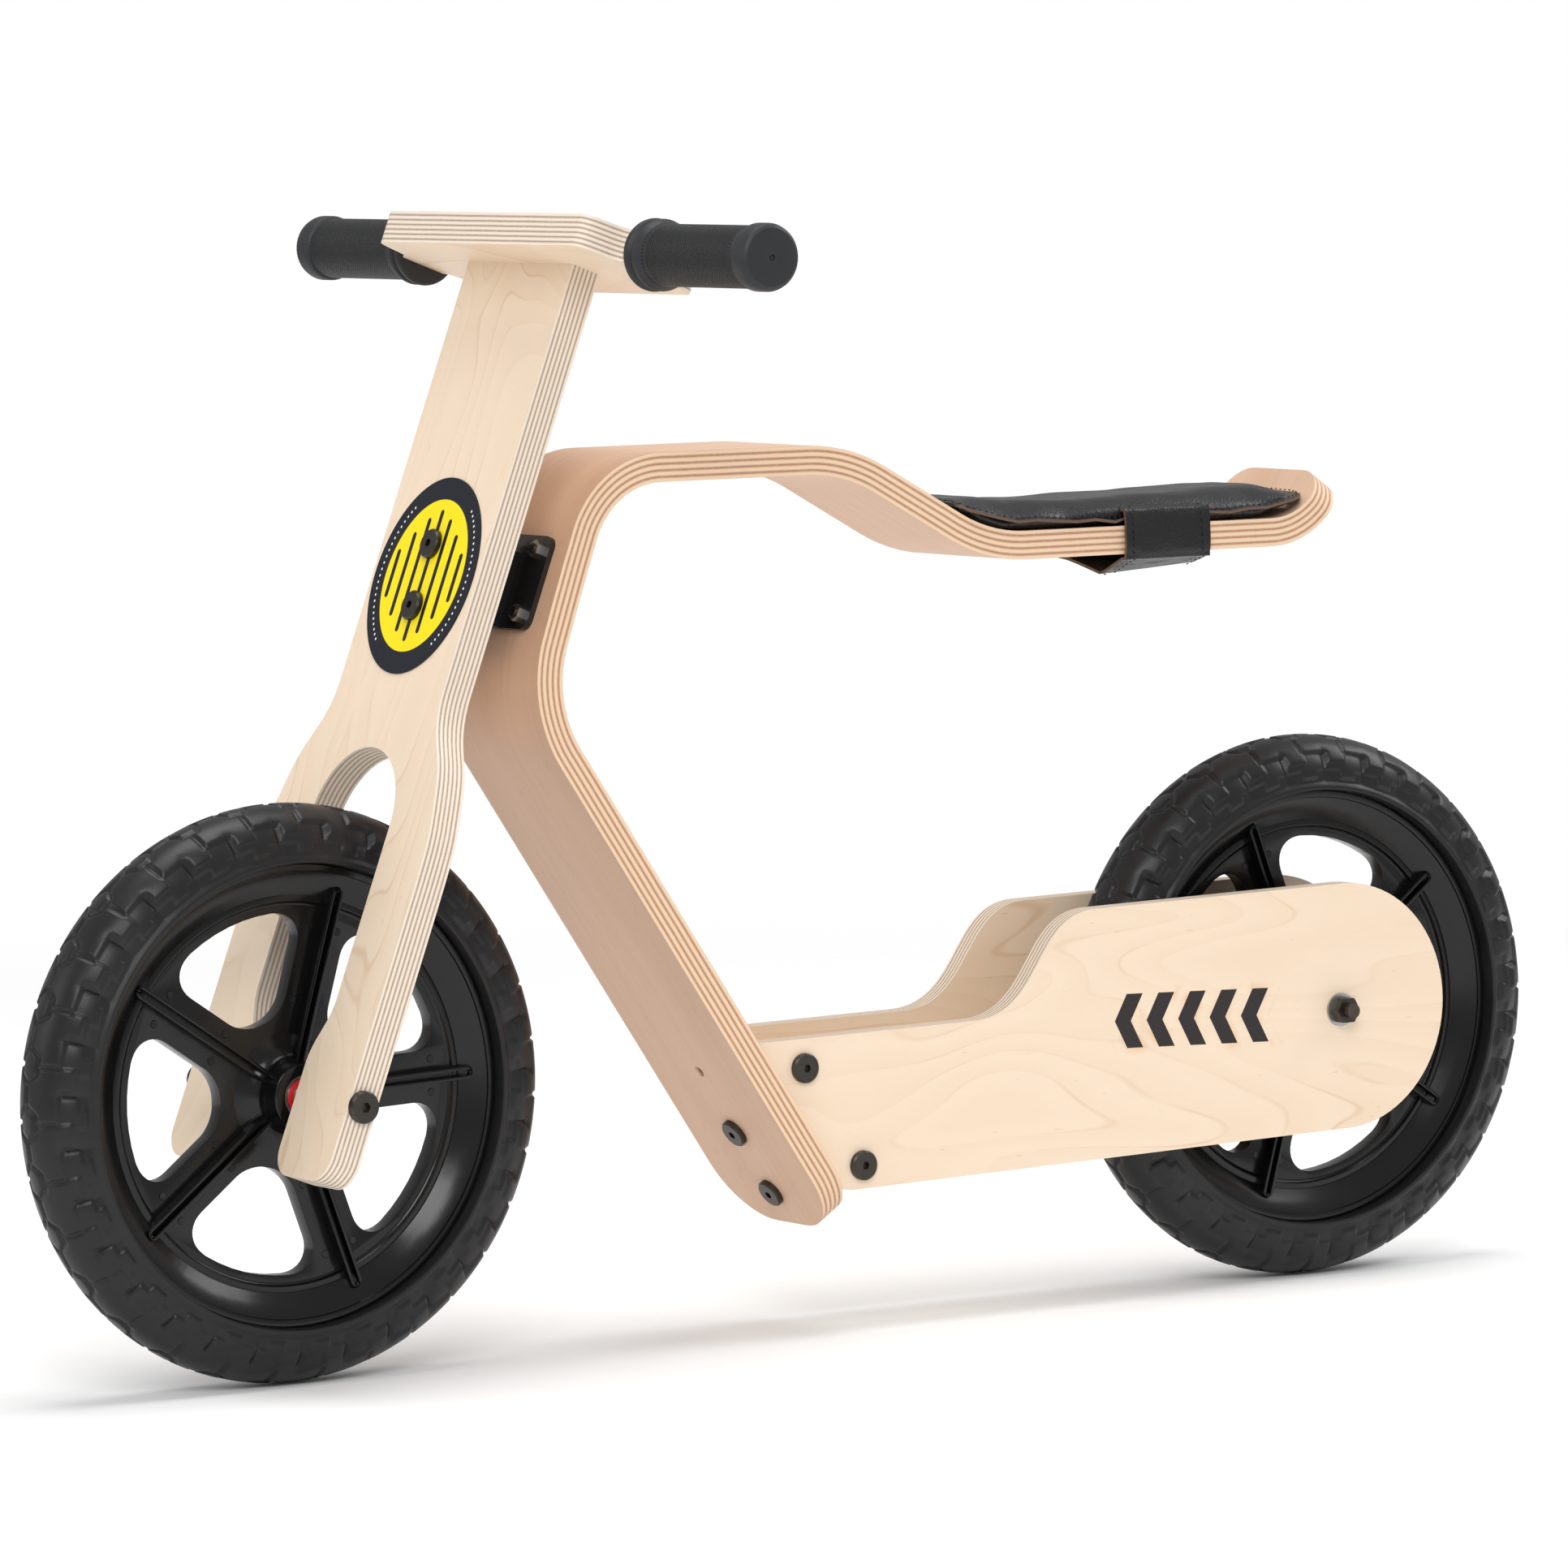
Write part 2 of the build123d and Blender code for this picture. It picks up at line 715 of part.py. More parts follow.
def fork():
    """Flat plywood fork, in its own frame: x is forward, y to the left, z up the plate."""
    with BuildSketch(Plane.YZ) as outline:
        for side in (-1, 1):
            with BuildLine():
                Line((0, fork_height), (side * neck_half_width, fork_height))
                Line((side * neck_half_width, fork_height), (side * neck_half_width, neck_low))
                Spline(
                    (side * neck_half_width, neck_low),
                    *[(side * point[0], point[1]) for point in shoulder],
                    (side * leg_outer, leg_top),
                    tangents=[(0, -1), (0, -1)],
                )
                Line((side * leg_outer, leg_top), (side * leg_outer, leg_bottom + leg_corner))
                RadiusArc(
                    (side * leg_outer, leg_bottom + leg_corner),
                    (side * (leg_outer - leg_corner), leg_bottom),
                    side * leg_corner,
                )
                outer_foot = (side * (leg_outer - leg_corner), leg_bottom)
                inner_foot = (side * (leg_inner_low + leg_corner), leg_bottom)
                Line(outer_foot, inner_foot)
                RadiusArc(
                    (side * (leg_inner_low + leg_corner), leg_bottom),
                    (side * leg_inner_low, leg_bottom + leg_corner),
                    side * leg_corner,
                )
                Line((side * leg_inner_low, leg_bottom + leg_corner), (side * leg_inner_low, leg_step[0]))
                Spline(
                    (side * leg_inner_low, leg_step[0]),
                    (side * leg_inner_high, leg_step[1]),
                    tangents=[(0, 1), (0, 1)],
                )
                Line((side * leg_inner_high, leg_step[1]), (side * leg_inner_high, arch_height))
                RadiusArc(
                    (side * leg_inner_high, arch_height),
                    (0, arch_height + leg_inner_high),
                    -side * leg_inner_high,
                )
                Line((0, arch_height + leg_inner_high), (0, fork_height))
            make_face()
    plate = Pos(-fork_thickness / 2, 0, 0) * extrude(outline.sketch, fork_thickness)
    plate -= cylinder_along_y(axle_radius + axle_clearance, -leg_outer - 5, leg_outer + 5)
    plate -= cylinder_along_y(sleeve_radius + 0.1, -leg_outer - 5, -leg_outer + 24.2)
    for height in fork_bolt_heights:
        plate -= cylinder_along_x(bolt_radius + bolt_clearance, -20, 20, 0, height)
    for side in (-1, 1):
        y = side * bar_bolt_offset
        plate -= cylinder_along_z(bolt_radius + bolt_clearance, fork_height - 45, fork_height + 5, 0, y)
        plate -= cylinder_along_x(barrel_radius + 0.1, fork_back - 5, 5.5, y, fork_height - 30)
    return fork_frame.location * plate


def handlebar():
    bottom = fork_height
    with BuildSketch(Plane.XY.offset(bottom)) as outline:
        with BuildLine():
            for side in (-1, 1):
                for way in (-1, 1):
                    Line((way * bar_half_depth, 0), (way * bar_half_depth, side * bar_shoulder[0]))
                    Spline(
                        (way * bar_half_depth, side * bar_shoulder[0]),
                        (way * bar_end_half_depth, side * bar_shoulder[1]),
                        tangents=[(0, side), (0, side)],
                    )
                end = side * bar_shoulder[1]
                Line((-bar_end_half_depth, end), (bar_end_half_depth, end))
        make_face()
    plate = extrude(outline.sketch, bar_thickness)
    for side in (-1, 1):
        plate += tenon(side, 0)
        plate -= cylinder_along_z(
            bolt_radius + bolt_clearance, bottom - 5, bottom + bar_thickness + 5, 0, side * bar_bolt_offset
        )
    return fork_frame.location * plate


def tenon(side, clearance):
    """Round-cornered end of the bar, inside the grip."""
    start = bar_shoulder[1] - 1
    length = bar_half_length - start
    block = Box(tenon_width + 2 * clearance, length, bar_thickness + 2 * clearance)
    block = fillet(block.edges().filter_by(Axis.Y), tenon_corner)
    return Pos(0, side * (start + length / 2), fork_height + bar_thickness / 2) * block


def grip(side):
    """Soft grip with two flanges at its inner end and a domed cap."""
    start = grip_start + 0.2
    end = grip_start + grip_length
    points = [
        (0, start),
        (flange_radius, start),
        (flange_radius, start + 4),
        (grip_radius + 1, start + 5.5),
        (grip_radius + 1, start + 7.5),
        (flange_radius - 0.5, start + 9),
        (flange_radius - 0.5, start + 12),
        (grip_radius, start + 15),
        (grip_radius, end - 14),
        (cap_radius, end - 12),
        (cap_radius, end - 3),
        (cap_radius - 3, end - 0.6),
        (0, end),
    ]
    body = turned(points)
    if side < 0:
        body = mirror(body, Plane.XZ)
    body = Pos(0, 0, fork_height + bar_thickness / 2) * body
    body -= tenon(side, 0)
    return fork_frame.location * body


def handlebar_bolts():
    bolts = []
    for side in (-1, 1):
        bolt = round_head_bolt(bar_thickness + 40, bolt_radius, head_radius, head_height, socket_radius)
        top = fork_height + bar_thickness
        bolts.append(fork_frame.location * Pos(0, side * bar_bolt_offset, top) * bolt)
    return Compound(children=bolts)


def barrel_nuts():
    nuts = []
    for side in (-1, 1):
        nut = cylinder_along_x(barrel_radius, fork_back + 0.5, 5, side * bar_bolt_offset, fork_height - 30)
        nut -= cylinder_along_z(bolt_radius, fork_height - 50, fork_height, 0, side * bar_bolt_offset)
        nuts.append(fork_frame.location * nut)
    return Compound(children=nuts)


def badge():
    with BuildSketch(Plane.YZ) as oval:
        with Locations((0, badge_height)):
            Ellipse(badge_half_width, badge_half_height)
        for height in fork_bolt_heights:
            with Locations((0, height)):
                Circle(bolt_radius + bolt_clearance, mode=Mode.SUBTRACT)
    disc = Pos(fork_front, 0, 0) * extrude(oval.sketch, badge_thickness)
    return fork_frame.location * disc


def fork_bolts():
    bolts = []
    for height in fork_bolt_heights:
        length = badge_thickness + fork_thickness + hinge_plate + 4
        bolt = round_head_bolt(length, bolt_radius, head_radius, head_height, socket_radius)
        seat = fork_front + badge_thickness
        bolts.append(fork_frame.location * Pos(seat, 0, height) * Rot(0, 90, 0) * bolt)
    return Compound(children=bolts)


def fork_nuts():
    nuts = []
    for height in fork_bolt_heights:
        with BuildSketch(Plane.XY) as hexagon:
            RegularPolygon(5, 6, major_radius=False)
            Circle(bolt_radius, mode=Mode.SUBTRACT)
        nut = extrude(hexagon.sketch, -4)
        nuts.append(fork_frame.location * Pos(fork_back - hinge_plate, 0, height) * Rot(0, 90, 0) * nut)
    return Compound(children=nuts)


def ear_inner():
    return tube_length / 2 + bush_flange + hinge_end_gap


def fork_hinge():
    """Folded steel hinge on the fork: a plate with an ear above and below the tube."""
    reach = ear_inner() + ear_thickness
    plate = Box(hinge_plate, hinge_plate_width, 2 * reach)
    plate = Pos(fork_back - hinge_plate / 2, 0, pivot_height) * plate
    for side in (-1, 1):
        middle = pivot_height + side * (ear_inner() + ear_thickness / 2)
        front = fork_back - hinge_plate / 2
        depth = front - pivot_axis
        ear = Pos((front + pivot_axis) / 2, 0, middle) * Box(depth, 2 * tube_radius, ear_thickness)
        ear += Pos(pivot_axis, 0, middle) * Cylinder(tube_radius, ear_thickness)
        plate += ear
        plate -= Pos(pivot_axis, 0, middle) * Cylinder(pin_radius + 0.02, 3 * ear_thickness)
    for height in fork_bolt_heights:
        plate -= cylinder_along_x(bolt_radius + bolt_clearance, -20, 0, 0, height)
    return fork_frame.location * plate


def housing_bolt_places():
    places = []
    for side in (-1, 1):
        for way in (-1, 1):
            places.append((side * 21, housing_height_centre + way * 17))
    return places


def pivot_housing():
    """Steel tube on a plate, bolted to the frame's head."""
    face = head_face()
    plate = Box(hinge_plate, housing_width, housing_height)
    plate = Pos(face + hinge_plate / 2, 0, housing_height_centre) * plate
    plate = fillet(plate.edges().filter_by(Axis.X), 6)
    plate = fork_frame.location * plate
    low = housing_height_centre - housing_height / 2
    high = pivot_height + tube_length / 2
    depth = pivot_axis - face
    rib = Pos(face + depth / 2, 0, (low + high) / 2) * Box(depth, 9, high - low)
    tube = cylinder_along_z(tube_radius, pivot_height - tube_length / 2, high, pivot_axis)
    body = plate + fork_frame.location * (rib + tube)
    bore = cylinder_along_z(tube_bore, pivot_height - 50, pivot_height + 50, pivot_axis)
    body -= fork_frame.location * bore
    for y, z in housing_bolt_places():
        hole = cylinder_along_x(housing_bolt_radius + bolt_clearance, face - 5, face + 9, y, z)
        body -= fork_frame.location * hole
    return body


def housing_bolts():
    bolts = []
    for y, z in housing_bolt_places():
        bolt = round_head_bolt(frame_thickness + hinge_plate + 5, housing_bolt_radius, 5, 2.8, 1.8)
        seat = head_face() - frame_thickness
        bolts.append(fork_frame.location * Pos(seat, y, z) * Rot(0, -90, 0) * bolt)
    return Compound(children=bolts)


def housing_nuts():
    nuts = []
    for y, z in housing_bolt_places():
        with BuildSketch(Plane.XY) as hexagon:
            RegularPolygon(4, 6, major_radius=False)
            Circle(housing_bolt_radius, mode=Mode.SUBTRACT)
        nut = extrude(hexagon.sketch, 4)
        nuts.append(fork_frame.location * Pos(head_face() + hinge_plate, y, z) * Rot(0, 90, 0) * nut)
    return Compound(children=nuts)


def pivot_bushes():
    """Flanged plastic bushes, one in each end of the tube."""
    pieces = []
    for side in (-1, 1):
        bush = Pos(0, 0, -6) * Cylinder(tube_bore, 12)
        bush += Pos(0, 0, bush_flange / 2) * Cylinder(bush_flange_radius, bush_flange)
        bush -= Cylinder(pin_radius + axle_clearance, 60)
        if side < 0:
            bush = mirror(bush, Plane.XY)
        end = pivot_height + side * tube_length / 2
        pieces.append(fork_frame.location * Pos(pivot_axis, 0, end) * bush)
    return Compound(children=pieces)


def pivot_pin():
    """Bolt down through both ears and the tube."""
    reach = ear_inner() + ear_thickness
    bolt = round_head_bolt(2 * reach + 8, pin_radius, 7, 4, 2.8)
    return fork_frame.location * Pos(pivot_axis, 0, pivot_height + reach) * bolt


def pivot_nut():
    with BuildSketch(Plane.XY) as hexagon:
        RegularPolygon(6.5, 6, major_radius=False)
        Circle(pin_radius, mode=Mode.SUBTRACT)
    nut = extrude(hexagon.sketch, -7)
    reach = ear_inner() + ear_thickness
    return fork_frame.location * Pos(pivot_axis, 0, pivot_height - reach) * nut


def front_axle_bolt():
    """Long bolt across both legs, through the thickness of the plate. Its head is on the left."""
    bolt = round_head_bolt(2 * leg_outer - 8, axle_radius, 8.2, 3.4, 2.8)
    return Pos(front_axle.X, leg_outer, front_axle.Z) * Rot(-90, 0, 0) * bolt


def front_axle_nut():
    """Sleeve nut that takes the axle bolt's end, inside the right leg."""
    head = cylinder_along_y(8.2, -leg_outer - 3.4, -leg_outer)
    head = chamfer(head.edges().sort_by(Axis.Y)[0], 0.8)
    sleeve = cylinder_along_y(sleeve_radius, -leg_outer, -leg_outer + 24)
    nut = head + sleeve - cylinder_along_y(axle_radius, -leg_outer + 5, -leg_outer + 30)
    with BuildSketch(Plane.XZ.offset(leg_outer + 3.4)) as hexagon:
        RegularPolygon(2.8, 6)
    nut -= extrude(hexagon.sketch, -2.6)
    return Pos(*front_axle) * nut


def pad_solid():
    """Seat pad: it lies in the dip of the beam and is flat on top."""
    outline = ribbon_outline(frame_path(), bend_radii, -30, -pad_gap)
    block = Pos(0, pad_half_width, 0) * extrude(outline, 2 * pad_half_width)
    length = pad_front - pad_rear
    limits = Pos((pad_front + pad_rear) / 2, 0, pad_top - 25) * Box(length, 2 * pad_half_width, 50)
    limits = fillet(limits.edges().filter_by(Axis.Z), 16)
    limits = fillet(limits.faces().sort_by(Axis.Z)[-1].edges(), 5)
    return block & limits


def seat_strap():
    """Strap from one side of the pad to the other, under the beam."""
    gap = pad_gap
    half = beam_width / 2 + gap
    top = seat_height
    under = seat_height - frame_thickness - gap
    length = strap_front - strap_rear
    middle = (strap_front + strap_rear) / 2
    outer = Pos(middle, 0, (top + under - strap_thickness) / 2)
    outer *= Box(length, 2 * (half + strap_thickness), top - under + strap_thickness)
    inner = Pos(middle, 0, (top + under) / 2 + 10) * Box(length + 2, 2 * half, top - under + 20)
    return outer - inner


def make_all():
    """Write every sub-part to its own file."""
    parts = {
        "bent_frame": bent_frame(),
        "left_stay": stay(1),
        "right_stay": stay(-1),
        "stay_bracket": stay_bracket(),
        "frame_bolts": frame_bolts(),
        "frame_nuts": frame_nuts(),
        "stay_bolts": stay_bolts(),
        "stay_nuts": stay_nuts(),
        "seat_pad": pad_solid(),
        "seat_strap": seat_strap(),
        "rear_axle_bolt": rear_axle_bolt(),
        "rear_axle_washers": rear_axle_washers(),
        "rear_axle_nut": rear_axle_nut(),
        "rear_axle_spacers": axle_spacers(rear_axle, stay_inner),
        "pivot_housing": pivot_housing(),
        "pivot_bushes": pivot_bushes(),
        "housing_bolts": housing_bolts(),
        "housing_nuts": housing_nuts(),
        "fork": fork(),
        "fork_hinge": fork_hinge(),
        "fork_bolts": fork_bolts(),
        "fork_nuts": fork_nuts(),
        "pivot_pin": pivot_pin(),
        "pivot_nut": pivot_nut(),
        "badge": badge(),
        "handlebar": handlebar(),
        "handlebar_bolts": handlebar_bolts(),
        "handlebar_barrel_nuts": barrel_nuts(),
        "left_grip": grip(1),
        "right_grip": grip(-1),
        "front_axle_bolt": front_axle_bolt(),
        "front_axle_nut": front_axle_nut(),
        "front_axle_spacers": axle_spacers(front_axle, leg_inner_low),
    }
    wheels = [("front", front_axle, front_spoke_turn), ("rear", rear_axle, rear_spoke_turn)]
    for name, centre, first_turn in wheels:
        parts[name + "_tyre"] = tyre(centre)
        parts[name + "_rim"] = rim(centre, first_turn)
        parts[name + "_bearing_outer_rings"] = outer_rings(centre)
        parts[name + "_bearing_inner_rings"] = inner_rings(centre)
        parts[name + "_bearing_balls"] = balls(centre)
        parts[name + "_bearing_seals"] = seals(centre)
        parts[name + "_hub_tube"] = hub_tube(centre)
    os.makedirs("parts", exist_ok=True)
    for name, shape in parts.items():
        export_step(shape, "parts/" + name + ".step")
        print(name, len(shape.solids()))


make_all()
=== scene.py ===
import json
from math import asin, atan2, cos, hypot, pi, radians, sin, tan

import bmesh
import bpy
from mathutils import Matrix, Vector, noise
from mathutils.bvhtree import BVHTree


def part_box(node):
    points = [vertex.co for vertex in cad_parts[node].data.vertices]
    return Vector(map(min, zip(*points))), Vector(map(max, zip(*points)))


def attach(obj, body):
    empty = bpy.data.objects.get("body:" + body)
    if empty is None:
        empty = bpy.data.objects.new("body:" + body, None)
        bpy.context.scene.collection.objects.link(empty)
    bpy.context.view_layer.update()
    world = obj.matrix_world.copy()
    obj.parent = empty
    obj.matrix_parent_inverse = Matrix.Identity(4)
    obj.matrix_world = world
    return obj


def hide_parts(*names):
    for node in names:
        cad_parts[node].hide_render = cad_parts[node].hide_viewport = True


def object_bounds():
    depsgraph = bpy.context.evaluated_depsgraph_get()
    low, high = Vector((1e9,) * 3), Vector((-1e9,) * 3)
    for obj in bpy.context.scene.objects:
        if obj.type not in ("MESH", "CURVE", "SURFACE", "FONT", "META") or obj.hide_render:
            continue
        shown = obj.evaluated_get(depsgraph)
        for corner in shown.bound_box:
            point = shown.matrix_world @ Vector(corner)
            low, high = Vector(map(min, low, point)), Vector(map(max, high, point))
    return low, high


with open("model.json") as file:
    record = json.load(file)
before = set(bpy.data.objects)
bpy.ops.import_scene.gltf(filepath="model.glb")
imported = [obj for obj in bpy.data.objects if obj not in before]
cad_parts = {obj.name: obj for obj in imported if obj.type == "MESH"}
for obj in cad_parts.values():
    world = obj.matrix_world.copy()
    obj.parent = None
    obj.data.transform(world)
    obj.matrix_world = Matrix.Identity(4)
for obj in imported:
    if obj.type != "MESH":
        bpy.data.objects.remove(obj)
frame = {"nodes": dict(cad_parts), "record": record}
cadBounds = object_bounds()
nodes = frame["nodes"]


def middleOf(node):
    low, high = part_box(node)
    return (low + high) / 2


# where the wheels turn, and the lean of the fork plate
frontHub = middleOf("front_tyre")
rearHub = middleOf("rear_tyre")
lean = radians(21)
plateOut = Vector((cos(lean), 0, sin(lean)))     # square to the fork plate, forwards
plateUp = Vector((-sin(lean), 0, cos(lean)))     # up along the fork plate


def placeOf(x, y, z, spot):          # a frame as a matrix: its three directions and its place
    return Matrix.Translation(spot) @ Matrix((x, y, z)).transposed().to_4x4()


forkPlace = placeOf(plateOut, Vector((0, 1, 0)), plateUp, frontHub)


# a wrapped socket, so that shader sums read as sums
def mathNode(operation, swapped=False):
    def work(self, *others):
        parts = [*others, self] if swapped else [self, *others]
        return self.shader.add("ShaderNodeMath", {"operation": operation}, parts)
    return work


def vectorNode(operation, output=0):
    def work(self, *others):
        return self.shader.add("ShaderNodeVectorMath", {"operation": operation}, [self, *others], output)
    return work


class Amount:
    def __init__(self, shader, socket):
        self.shader = shader
        self.socket = socket

    __add__ = __radd__ = mathNode("ADD")
    __sub__ = mathNode("SUBTRACT")
    __rsub__ = mathNode("SUBTRACT", swapped=True)
    __mul__ = __rmul__ = mathNode("MULTIPLY")
    __truediv__ = mathNode("DIVIDE")
    __pow__ = mathNode("POWER")
    __mod__ = mathNode("FLOORED_MODULO")
    __abs__ = mathNode("ABSOLUTE")
    least = mathNode("MINIMUM")
    most = mathNode("MAXIMUM")
    above = mathNode("GREATER_THAN")
    turnFrom = mathNode("ARCTAN2")
    along = vectorNode("DOT_PRODUCT", "Value")      # a vector's part along a direction
    length = vectorNode("LENGTH", "Value")
    shift = vectorNode("ADD")
    stretch = vectorNode("MULTIPLY")

    def ease(self, start, end):      # 0 before start, 1 after end
        settings = {"interpolation_type": "SMOOTHSTEP"}
        inputs = {"Value": self, "From Min": start, "From Max": end}
        return self.shader.add("ShaderNodeMapRange", settings, inputs)

    def under(self, limit, soft):    # 1 below a limit, 0 above it
        return self.ease(limit + soft, limit - soft)


class Shader:
    def __init__(self, name):
        self.material = bpy.data.materials.new(name)
        self.material.use_nodes = True
        self.tree = self.material.node_tree
        self.tree.nodes.clear()
        self.place = self.add("ShaderNodeTexCoord", {}, {}, "Object")
        self.facing = self.add("ShaderNodeTexCoord", {}, {}, "Normal")

    def add(self, kind, settings, inputs, output=0):
        made = self.tree.nodes.new(kind)
        for key, value in settings.items():
            setattr(made, key, value)
        pairs = inputs.items() if isinstance(inputs, dict) else enumerate(inputs)
        for key, value in pairs:
            if isinstance(value, Amount):
                self.tree.links.new(value.socket, made.inputs[key])
            else:
                made.inputs[key].default_value = value
        return Amount(self, made.outputs[output]) if output is not None else None

    def mix(self, share, first, second):
        return self.add("ShaderNodeMix", {"data_type": "RGBA"}, {0: share, 6: first, 7: second}, 2)

    def cloud(self, scale, detail=3.0, rough=0.5, twist=0.0, where=None):
        values = {"Vector": where or self.place, "Scale": scale, "Detail": detail, "Roughness": rough,
                  "Distortion": twist}
        return self.add("ShaderNodeTexNoise", {}, values)

    def drawn(self, stretch, *settings):      # a cloud drawn out by a stretch
        return self.cloud(*settings, where=self.place.stretch(stretch))

    def cells(self, scale):
        return self.add("ShaderNodeTexVoronoi", {}, {"Vector": self.place, "Scale": scale}, "Distance")

    def part(self, which):
        return self.add("ShaderNodeSeparateXYZ", {}, [self.place], which)

    def bump(self, height, distance, strength=1.0):
        return self.add("ShaderNodeBump", {}, {"Height": height, "Distance": distance, "Strength": strength})

    def finish(self, colour, rough, metal=0.0, normal=None, **fixed):
        values = {"Base Color": colour, "Roughness": rough, "Metallic": metal}
        for key, value in fixed.items():
            values[key.replace("_", " ").title().replace("Ior", "IOR")] = value
        if normal:
            values["Normal"] = normal
        surface = self.add("ShaderNodeBsdfPrincipled", {}, values)
        self.add("ShaderNodeOutputMaterial", {}, {"Surface": surface}, None)
        return self.material


def tint(red, green, blue):          # a colour picked on screen, as light
    parts = [c / 255 for c in (red, green, blue)]
    return tuple(p / 12.92 if p <= 0.04045 else ((p + 0.055) / 1.055) ** 2.4 for p in parts) + (1.0,)


def shaded(colour, times, plus=0.0):
    return tuple(min(1.0, c * times + plus) for c in colour[:3]) + (1.0,)


# the fork and bar plates and the grips on them; the heights run up the fork plate from the hub
headSizes = {"barUnder": 0.441, "barThick": 0.017, "forkThick": 0.017}
headSizes["barMiddle"] = headSizes["barUnder"] + headSizes["barThick"] / 2
gripSizes = {"start": 0.1082, "knurl": (0.0170, 0.0910), "body": 0.0150, "rows": 46, "dashes": 56}


# woods
birchLook = {
    "face": tint(240, 219, 194),
    "faceDeep": tint(230, 203, 172),
    "line": tint(212, 174, 136),
    "edgeLight": tint(238, 224, 205),
    "edgeDark": tint(176, 152, 134),
    "glue": tint(120, 92, 74),
}
beechLook = {
    "face": tint(219, 184, 157),
    "faceDeep": tint(202, 162, 132),
    "edgeLight": tint(237, 206, 172),
    "edgeDark": tint(182, 134, 107),
    "glue": tint(140, 88, 62),
}
# the bent frame's outer line, its corners' radii and its thickness
bentFrame = {
    "corners": [(0.012, 0.055), (0.2011, 0.3375), (0.1526, 0.464), (-0.003, 0.464),
                (-0.092, 0.4145), (-0.295, 0.4145), (-0.3116, 0.4383)],
    "radii": [0.072, 0.057, 0.1, 0.085, 0.038],
    "thick": 0.015,
    "layers": 9,
}


def layers(shader, depth, count, look):     # glued layers, from 0 at one face to 1 at the other
    wobble = shader.cloud(38.0, 2.0) - 0.5
    level = (depth + wobble * 0.016) * count
    within = level % 1.0
    pair = level % 2.0
    odd = pair.ease(1.06, 1.2) * pair.ease(1.92, 1.78)      # the dark layers are the thinner ones
    streak = shader.cloud(420.0, 3.0, 0.7)
    shade = (odd * 0.85 + (streak - 0.5) * 0.7).ease(0.05, 0.95)
    wood = shader.mix(shade, look["edgeLight"], look["edgeDark"])
    glue = abs(within - 0.5).ease(0.42, 0.49) * 0.42
    return shader.mix(glue, wood, look["glue"]), glue


def birch(name, square, start, thick, count, grain, outside=None):
    shader = Shader(name)
    depth = (shader.place.along(square) - start) / thick
    onEdge = abs(shader.facing.along(square)).ease(0.75, 0.6)
    edge, glue = layers(shader, depth, count, birchLook)
    # pale flame figure: contour lines of a slow noise, drawn out along the grain
    slow = shader.drawn(grain, 1.0, 2.0, 0.45, 0.35)
    ring = (slow * 19.0) % 1.0
    line = abs(ring - 0.5).ease(0.42, 0.5)
    soft = ring.ease(0.0, 1.0)
    fibre = shader.drawn(Vector(grain) * 55, 1.0, 3.0, 0.6)
    patch = shader.cloud(7.0, 2.0)
    face = shader.mix(soft * 0.26 + (patch - 0.5) * 0.7, birchLook["face"], birchLook["faceDeep"])
    face = shader.mix(line * 0.5 * shader.cloud(12.0).ease(0.35, 0.7), face, birchLook["line"])
    face = shader.mix((fibre - 0.45).most(0.0) * 0.35, face, birchLook["faceDeep"])
    fleck = shader.drawn(Vector(grain) * 14, 3.0, 1.0).ease(0.74, 0.8)
    face = shader.mix(fleck * 0.35, face, birchLook["line"])
    colour = shader.mix(onEdge, face, edge)
    rough = 0.46 + fibre * 0.08 + onEdge * 0.12
    if outside:                      # the printed mark, on the outer face alone
        shape, halo = chevrons(shader)
        shown = shader.facing.along(outside).ease(0.5, 0.7)
        shape = shape * shown
        colour = shader.mix(halo * 0.5 * shown, colour, tint(226, 176, 118))
        colour = shader.mix(shape, colour, tint(38, 31, 32))
        rough = rough + shape * 0.2
    height = fibre * 0.5 - onEdge * glue * 3.0 + onEdge * shader.cloud(900.0, 2.0)
    return shader.finish(colour, rough, normal=shader.bump(height, 0.0001, 0.5))


def depthInBend(shader):             # how far below the bent frame's outer line a point is
    corners = [Vector((x, 0, z)) for x, z in bentFrame["corners"]]
    flat = shader.place.stretch((1, 0, 1))
    best = None
    start = corners[0]
    for index in range(1, len(corners)):
        here = corners[index]
        into = (here - corners[index - 1]).normalized()
        end = here
        if index < len(corners) - 1:
            out = (corners[index + 1] - here).normalized()
            half = into.angle(out) / 2
            radius = bentFrame["radii"][index - 1]
            end = here - into * radius * tan(half)
            middle = (out - into).normalized()
            centre = here + middle * radius / cos(half)
        # the straight run before this corner
        side = Vector((-into.z, 0, into.x))
        along = flat.along(into) - start.dot(into)
        past = (0 - along).most(along - (end - start).length).most(0.0)
        off = abs(flat.along(side) - start.dot(side)) + past * 40.0
        best = off if best is None else best.least(off)
        if index < len(corners) - 1:
            spoke = flat.shift(-centre)
            reach = spoke.length()
            turned = (cos(half) - spoke.along(-middle) / reach).most(0.0)
            best = best.least(abs(reach - radius) + turned * 4.0)
            start = here + out * radius * tan(half)
    return best


